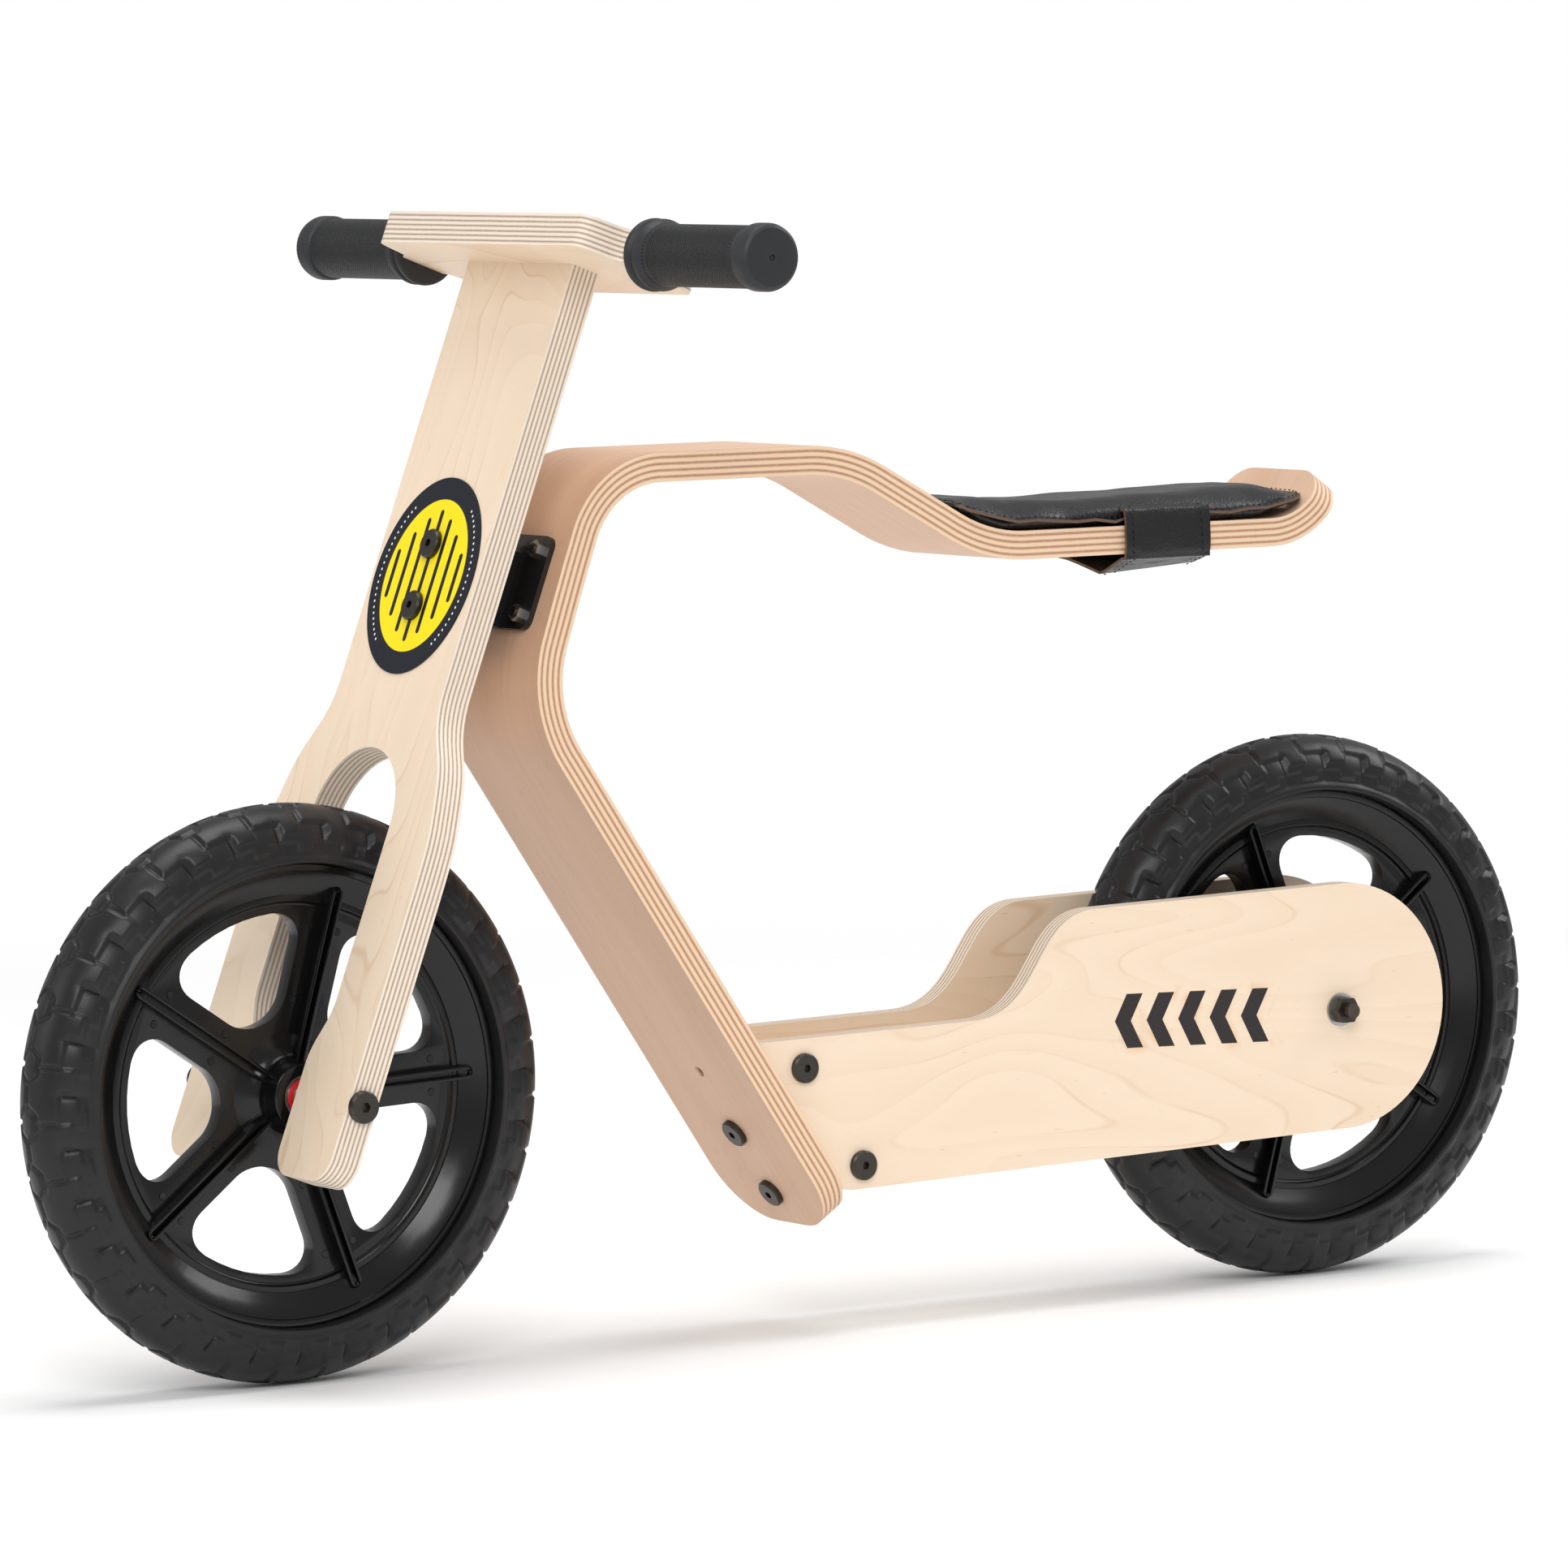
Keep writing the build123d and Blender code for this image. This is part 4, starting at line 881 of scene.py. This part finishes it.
def beamTop(x, y):                   # the bent frame's upper face under a place on the seat
    hit = beamTree.ray_cast(Vector((x, hold(y, beamHalf), 0.60)), Vector((0, 0, -1)))
    return hit[0].z if hit[0] else bentFrame["corners"][5][1]


def makePad():
    mesh = bmesh.new()
    bmesh.ops.create_cube(mesh, size=1.0)
    bmesh.ops.subdivide_edges(mesh, edges=mesh.edges[:], cuts=15, use_grid_fill=True)
    middle = seatPad["middle"]
    bmesh.ops.scale(mesh, verts=mesh.verts, vec=(seatPad["long"], 2 * seatPad["halfWide"], 1.0))
    moveAll(mesh, (middle, 0, 0))
    for vert in mesh.verts:
        x, y, level = vert.co.x, vert.co.y, vert.co.z + 0.5
        toEnd = min(abs(x - seatPad["front"]), abs(x - seatPad["rear"]))
        toSide = seatPad["halfWide"] - abs(y)
        slim = smoothStep(min(toEnd, 0.03), 0, 0.03) * 0.75 + 0.25
        slimSide = smoothStep(min(toSide, 0.016), 0, 0.016) * 0.5 + 0.5
        seam = seamHeight(x)
        floor = max(beamTop(x, y) + 0.0016, seam - 0.0030 - 0.002 * slim)
        top = max(between(topLine, x), seam + 0.0040)
        top = seam + 0.0022 + (top - seam - 0.0022) * min(slim, slimSide + 0.15)
        vert.co.z = floor + (max(top, floor + 0.002) - floor) * level
        # the corners are rounded in plan
        pull = max(0.0, 1 - toEnd / 0.012) ** 2 * max(0.0, 1 - toSide / 0.012) ** 2
        vert.co.x += (middle - x) * pull * 0.018
        vert.co.y -= y * pull * 0.05
    pad = loose("padStart", mesh)
    remesh = pad.modifiers.new("remesh", "REMESH")
    remesh.mode = "VOXEL"
    remesh.voxel_size = seatPad["voxel"]
    remesh.use_smooth_shade = True
    even = applyAll(pad)
    start = [v.co.copy() for v in even.verts]
    pad = loose("padSim", even)
    cloth = pad.modifiers.new("cloth", "CLOTH")
    cloth.settings.use_pressure = True
    cloth.settings.uniform_pressure_force = seatPad["pressure"]
    cloth.settings.effector_weights.gravity = 0
    cloth.settings.mass = seatPad["mass"]
    cloth.settings.tension_stiffness = seatPad["stretch"]
    cloth.settings.compression_stiffness = seatPad["stretch"]
    cloth.settings.bending_stiffness = seatPad["bend"]
    cloth.point_cache.frame_start = 1
    cloth.point_cache.frame_end = seatPad["frames"]
    for step in range(seatPad["frames"]):
        bpy.context.scene.frame_set(step + 1)
    filled = applyAll(pad)
    bpy.context.scene.frame_set(1)
    for vert, was in zip(filled.verts, start):
        move = vert.co - was
        # the sewn edge holds its sides, so it fills upwards
        move.x = hold(move.x, seatPad["give"])
        move.y = hold(move.y, seatPad["give"])
        if move.length > seatPad["swell"]:
            move = move.normalized() * seatPad["swell"]
        vert.co = was + move
    # soft folds: shallow noise creases over the cushion's upper part
    for vert in filled.verts:
        seam = seamHeight(vert.co.x)
        share = smoothStep(vert.co.z, seam, seam + 0.006)
        wave = noise.noise(Vector((vert.co.x * 30, vert.co.y * 55, 3.0)))
        fold = noise.noise(Vector((vert.co.x * 95 + abs(vert.co.y) * 120, vert.co.y * 9, 7.0)))
        vert.co.z += share * (wave * 0.0010 + fold * 0.0007)
        # nothing under the beam's face, and nothing above the seat's top
        floor = beamTop(vert.co.x, vert.co.y) + 0.0004
        vert.co.z = min(max(vert.co.z, floor), seatPad["highest"])
        vert.co.y = hold(vert.co.y, seatPad["widest"])
    for turn in range(2):
        bmesh.ops.smooth_vert(filled, verts=filled.verts, factor=0.5,
                              use_axis_x=True, use_axis_y=True, use_axis_z=True)
    for vert in filled.verts:
        vert.co.z = max(vert.co.z, beamTop(vert.co.x, vert.co.y) + 0.0004)
    made = newPiece("seatPadCushion", filled, "frame", padCover, ["seat_pad"], sharp=180)
    rounder = made.modifiers.new("finer", "SUBSURF")
    rounder.levels = rounder.render_levels = 1
    return made


def makeFlange():                    # the sewn edge round the pad, its raw edge outwards
    mesh = bmesh.new()
    bmesh.ops.create_grid(mesh, x_segments=1, y_segments=1, size=0.5)
    middle = seatPad["middle"]
    wide = seatPad["halfWide"] - seatPad["overlap"]
    long = seatPad["long"] / 2 + 0.003 - seatPad["overlap"]
    bmesh.ops.scale(mesh, verts=mesh.verts, vec=(2 * long, 2 * wide, 1))
    moveAll(mesh, (middle, 0, 0))
    bevel(mesh, mesh.verts[:], seatPad["corner"], 6, "VERTICES")
    for turn in range(3):
        runs = [e for e in mesh.edges if e.calc_length() > 0.006]
        bmesh.ops.subdivide_edges(mesh, edges=runs, cuts=3 if turn == 0 else 1)
    inner = mesh.faces[:]
    outer = newVerts(bmesh.ops.extrude_edge_only(mesh, edges=mesh.edges[:]))
    bmesh.ops.delete(mesh, geom=inner, context="FACES_ONLY")
    for vert in outer:
        # square to the pad's outline, round its corners' own centres
        inX = middle + hold(vert.co.x - middle, long - seatPad["corner"])
        inY = hold(vert.co.y, wide - seatPad["corner"])
        out = Vector((vert.co.x - inX, vert.co.y - inY, 0)).normalized()
        # tucked in where the strap goes over it
        tuck = smoothStep(abs(vert.co.x - strapMiddle), 0.0285, 0.0315) if abs(out.y) > 0.9 else 1.0
        vert.co += out * (seatPad["overlap"] - 0.0016 + seatPad["flange"] * tuck)
        vert.co.z -= 0.0012 * tuck
    for vert in mesh.verts:
        wave = 0.0006 * noise.noise(Vector((vert.co.x * 60, vert.co.y * 60, 0)))
        low = max(seamHeight(vert.co.x) + vert.co.z, beamTop(vert.co.x, vert.co.y) + 0.0014)
        vert.co.z = low + wave + 0.0004
        vert.co.y = hold(vert.co.y, seatPad["edgeWidest"])
    # where the stitches go: along the middle of the band
    path = []
    outerSet = set(outer)
    for edge in mesh.edges:
        inside = [v in outerSet for v in edge.verts]
        if inside[0] != inside[1]:
            start, end = (edge.verts[0], edge.verts[1]) if inside[1] else (edge.verts[1], edge.verts[0])
            path.append(start.co.lerp(end.co, 0.74) + Vector((0, 0, seatPad["flangeThick"] / 2 + 0.0001)))
    bmesh.ops.recalc_face_normals(mesh, faces=mesh.faces)
    bmesh.ops.solidify(mesh, geom=mesh.faces[:], thickness=seatPad["flangeThick"])
    newPiece("seatPadSeam", mesh, "frame", seamCover, [], sharp=50)
    return path


def stitches(name, path, closed, step, up, reach=0.0011, thick=0.00034):
    # small thread loops set along a path, each one laid down along it
    mesh = bmesh.new()
    points = list(path) + ([path[0]] if closed else [])
    travelled, due = 0.0, step / 2
    for before, after in zip(points, points[1:]):
        run = (after - before).length
        if run > 0.02:
            continue
        while run > 0 and due <= travelled + run:
            spot = before.lerp(after, (due - travelled) / run)
            forward = (after - before).normalized()
            lift = up(spot)
            side = lift.cross(forward).normalized()
            lift = forward.cross(side).normalized()
            shape = placeOf(forward, side, lift, spot) @ Matrix.Diagonal((reach, thick, thick, 1))
            bmesh.ops.create_uvsphere(mesh, u_segments=6, v_segments=4, radius=1.0, matrix=shape)
            due += step
        travelled += run
    newPiece(name, mesh, "frame", thread, [], sharp=180)


def ordered(path):                   # ring points sorted round the pad
    return sorted(path, key=lambda p: atan2(p.y / 0.04, (p.x - seatPad["middle"]) / 0.118))


padCover = leatherette("padLeather")
seamCover = leatherette("padSeam", rawAxis=(0, 1, 0))
thread = plainFibre("thread", tint(30, 30, 33), tint(16, 16, 18))
padMade = makePad()
seamPath = ordered(makeFlange())
stitches("seatPadStitches", seamPath, True, seatPad["stitchStep"], lambda spot: Vector((0, 0, 1)))
print("seat pad")


# strap
strap = {
    "front": -0.177,
    "rear": -0.232,
    "thick": 0.0015,
    "hem": 0.0042,           # the stitch line's distance from an edge
    "stitchStep": 0.0038,
    "columns": 22,
    "rows": 56,
    "beamSide": 0.0446,      # how far out it clears the beam's side
}
# from the pad's side, round the beam and under it: (out from the middle, height)
strapSide = [
    (0.0392, 0.4272), (0.0418, 0.4255), (0.0435, 0.4225), (0.0444, 0.4190), (0.0450, 0.4150), (0.0452, 0.4080),
    (0.0453, 0.4015), (0.0449, 0.3990), (0.0438, 0.3974),
]
strapNear = strapSide + [(0.0400, 0.3958), (0.0320, 0.3928), (0.0225, 0.3893)]
strapFar = strapSide + [(0.0400, 0.3965), (0.0250, 0.3958), (0.0100, 0.3945), (-0.0060, 0.3912), (-0.0205, 0.3878)]


def alongPath(path, share):
    lengths = [hypot(b[0] - a[0], b[1] - a[1]) for a, b in zip(path, path[1:])]
    target = share * sum(lengths)
    for (a, b), run in zip(zip(path, path[1:]), lengths):
        if target <= run or b == path[-1]:
            part = min(1.0, target / run)
            return a[0] + (b[0] - a[0]) * part, a[1] + (b[1] - a[1]) * part
        target -= run


def softPath(path, share):           # the same, its corners softened
    spots = [alongPath(path, min(1.0, max(0.0, share + step))) for step in (-0.03, -0.015, 0, 0.015, 0.03)]
    return sum(s[0] for s in spots) / 5, sum(s[1] for s in spots) / 5


def makeStrap(name, path, side, droop):
    mesh = bmesh.new()
    bmesh.ops.create_grid(mesh, x_segments=strap["columns"], y_segments=strap["rows"], size=0.5)
    width = strap["front"] - strap["rear"]
    # across is 0 at the rear edge and 1 at the front one, share 0 on top and 1 at the end
    rows = {vert: (vert.co.x + 0.5, vert.co.y + 0.5) for vert in mesh.verts}
    for vert, (across, share) in rows.items():
        out, height = softPath(path, share)
        x = strap["rear"] + width * across
        # the end is cut aslant, its front corner longest, and hangs a little
        late = smoothStep(share, 0.62, 1.0)
        out += late * (1 - across) * 0.0075
        height += late * (1 - across) * 0.0032
        height -= late * droop * across * 0.0012
        wrinkle = noise.noise(Vector((x * 70, share * 9, side * 3.0)))
        bulge = 0.0005 * wrinkle + 0.0005 * sin(pi * across) * smoothStep(share, 0.25, 0.4)
        out += bulge
        vert.co = Vector((x, side * out, height))
        if share < 0.42:                  # lies on the pad and the seam under it
            near = padTree.find_nearest(vert.co)
            if near[0] is not None:
                gap = (vert.co - near[0]).dot(near[1])
                wish = 0.0004 + 0.0012 * smoothStep(share, 0.0, 0.12)
                if gap < wish or share < 0.08:
                    vert.co = near[0] + near[1] * wish
                    vert.co.x = x
        if 0.3965 < vert.co.z < 0.4150 and share < 0.75 and 0.04 < abs(vert.co.y) < strap["beamSide"]:
            vert.co.y = side * strap["beamSide"]
    for turn in range(3):
        inner = [v for v in mesh.verts if not v.is_boundary]
        bmesh.ops.smooth_vert(mesh, verts=inner, factor=0.5, use_axis_x=False, use_axis_y=True, use_axis_z=True)
    bmesh.ops.recalc_face_normals(mesh, faces=mesh.faces)
    outward = sum(f.normal.y * side for f in mesh.faces if f.calc_center_median().z > 0.40)
    if outward < 0:
        bmesh.ops.reverse_faces(mesh, faces=mesh.faces)
    mesh.normal_update()
    seams = []
    for wanted in (strap["hem"] / width, 1 - strap["hem"] / width):
        column = round(wanted * strap["columns"]) / strap["columns"]
        line = [v for v, (across, share) in rows.items() if abs(across - column) < 1e-4 and share > 0.02]
        line.sort(key=lambda v: rows[v][1])
        seams.append([(v.co + v.normal * (strap["thick"] / 2 + 0.0001), v.normal.copy()) for v in line])
    bmesh.ops.solidify(mesh, geom=mesh.faces[:], thickness=strap["thick"])
    newPiece(name, mesh, "frame", strapLeather, ["seat_strap"], sharp=50)
    for end, seam in zip(("StitchRear", "StitchFront"), seams):
        stitches(name + end, [spot for spot, normal in seam], False, strap["stitchStep"],
                 lambda spot: min(seam, key=lambda pair: (pair[0] - spot).length)[1])


depsgraph = bpy.context.evaluated_depsgraph_get()
padTree = BVHTree.FromObject(padMade, depsgraph)
strapLeather = leatherette("strapLeather", rawAxis=(1, 0, 0))
makeStrap("strapNear", strapNear, 1, 1.0)
makeStrap("strapFar", strapFar, -1, 0.0)
print("strap")


# finishes of the CAD pieces that show as they are
def dress(name, material):
    target = nodes[name]
    if not target.material_slots:
        target.data.materials.append(material)
    for spot in target.material_slots:
        spot.link = "OBJECT"
        spot.material = material


def stayBirch(name, node, side):
    low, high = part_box(node)
    return birch(name, (0, 1, 0), low.y, high.y - low.y, 9, (2.2, 9, 10), (0, side, 0))


forkTop = frontHub.dot(plateUp)
forkMiddle = frontHub.dot(plateOut)
forkThick, barThick = headSizes["forkThick"], headSizes["barThick"]
birchFork = birch("birchFork", plateOut, forkMiddle - forkThick / 2, forkThick, 13, (9, 9, 1.6))
birchBar = birch("birchBar", plateUp, forkTop + headSizes["barUnder"], barThick, 13, (9, 1.4, 9))
bentWood = beech()
darkSteel = steel("darkSteel", tint(68, 64, 60), 0.34, 0.9)
axleSteel = steel("axleSteel", tint(84, 76, 68), 0.34, 0.9, thread=(0, 1, 0))
zinc = steel("zincSteel", tint(178, 178, 176), 0.32)
blackSteel = enamel("blackSteel", tint(24, 24, 26), 0.36, 0.8)
yellowSteel = enamel("yellowSteel", tint(246, 201, 22), 0.33, 0.7)
bushPlastic = mouldedPlastic("bushPlastic", tint(30, 30, 31), 0.4)
bearingSteel = steel("bearingSteel", tint(205, 205, 205), 0.2)
sealRubber = enamel("sealRubber", tint(214, 14, 26), 0.42, 0.3)
badgeFilm = badgePrint()

finishes = {entry["node"]: entry["material_slot"] for entry in frame["record"]["subparts"]}
bySlot = {
    "frame_ply": bentWood, "yellow_steel": yellowSteel, "dark_steel": darkSteel, "zinc_steel": zinc,
    "black_steel": blackSteel, "bush_plastic": bushPlastic, "badge_film": badgeFilm, "bearing_steel": bearingSteel,
    "seal_rubber": sealRubber, "tyre_foam": foam, "wheel_plastic": rimPlastic, "grip_rubber": bushPlastic,
    "seat_cover": padCover, "strap_cover": strapLeather, "birch_ply": birchFork,
}
for name in nodes:
    dress(name, bySlot[finishes[name]])
dress("handlebar", birchBar)
dress("left_stay", stayBirch("birchStayLeft", "left_stay", 1))
dress("right_stay", stayBirch("birchStayRight", "right_stay", -1))
dress("rear_axle_bolt", axleSteel)
print("finishes")


# floor, light and camera
def floorMaterial():
    shader = Shader("paleFloor")
    cloudy = shader.cloud(3.0, 2.0)
    colour = shader.mix(cloudy * 0.1, tint(250, 250, 250), tint(244, 244, 244))
    # it fades out to the white round it
    inside = shader.place.stretch((1, 1, 0)).length().ease(2.4, 0.9)
    return shader.finish(colour, 0.9, alpha=inside)


ground = bmesh.new()
bmesh.ops.create_grid(ground, x_segments=1, y_segments=1, size=60.0)
floor = loose("floor", ground)
floor.data.materials.append(floorMaterial())
floor.data.transform(Matrix.Translation((0, 0, cadBounds[0][2] - 0.0004)))

lamps = [
    ("key", (2.0, 3.0, 2.6), 2.0, 70.0),
    ("fill", (3.4, -1.2, 1.6), 2.0, 16.0),
    ("back", (-2.8, 0.4, 2.4), 1.8, 36.0),
    ("top", (0.0, 0.0, 3.6), 2.2, 60.0),
]
for name, spot, size, power in lamps:
    light = bpy.data.lights.new(name, "AREA")
    light.shape = "DISK"
    light.size = size
    light.energy = power
    lamp = newObject(name, light)
    lamp.location = spot
    lamp.rotation_euler = (Vector((0, 0, 0.25)) - Vector(spot)).to_track_quat("-Z", "Y").to_euler()

world = bpy.data.worlds.new("studio")
bpy.context.scene.world = world
world.use_nodes = True
backdrop = world.node_tree.nodes["Background"]
backdrop.inputs["Color"].default_value = (1.0, 1.0, 1.0, 1.0)
ray = world.node_tree.nodes.new("ShaderNodeLightPath")          # white to the eye, softer as light
level = world.node_tree.nodes.new("ShaderNodeMapRange")
level.inputs["To Min"].default_value = 0.5
level.inputs["To Max"].default_value = 1.0
world.node_tree.links.new(ray.outputs["Is Camera Ray"], level.inputs["Value"])
world.node_tree.links.new(level.outputs["Result"], backdrop.inputs["Strength"])
bpy.context.scene.view_settings.view_transform = "Standard"

shot = {
    "turn": radians(146.35),
    "rise": radians(4.69),
    "roll": radians(-0.82),
    "lens": 207.5,
    "away": 4.7195,
    "target": Vector((0.01273, 0, 0.28586)),
}
turn, rise, roll = shot["turn"], shot["rise"], shot["roll"]
toward = Vector((sin(turn) * cos(rise), -cos(turn) * cos(rise), sin(rise)))
across = (-toward).cross(Vector((0, 0, 1))).normalized()
over = across.cross(-toward).normalized()
right = across * cos(roll) + over * sin(roll)
above = over * cos(roll) - across * sin(roll)
spot = shot["target"] + toward * shot["away"]
eye = bpy.data.cameras.new("eye")
eye.lens = shot["lens"]
eye.sensor_width = 36.0
eye.clip_end = 50.0
camera = newObject("eye", eye)
camera.matrix_world = placeOf(right, above, toward, spot)
bpy.context.scene.camera = camera
print("stage")
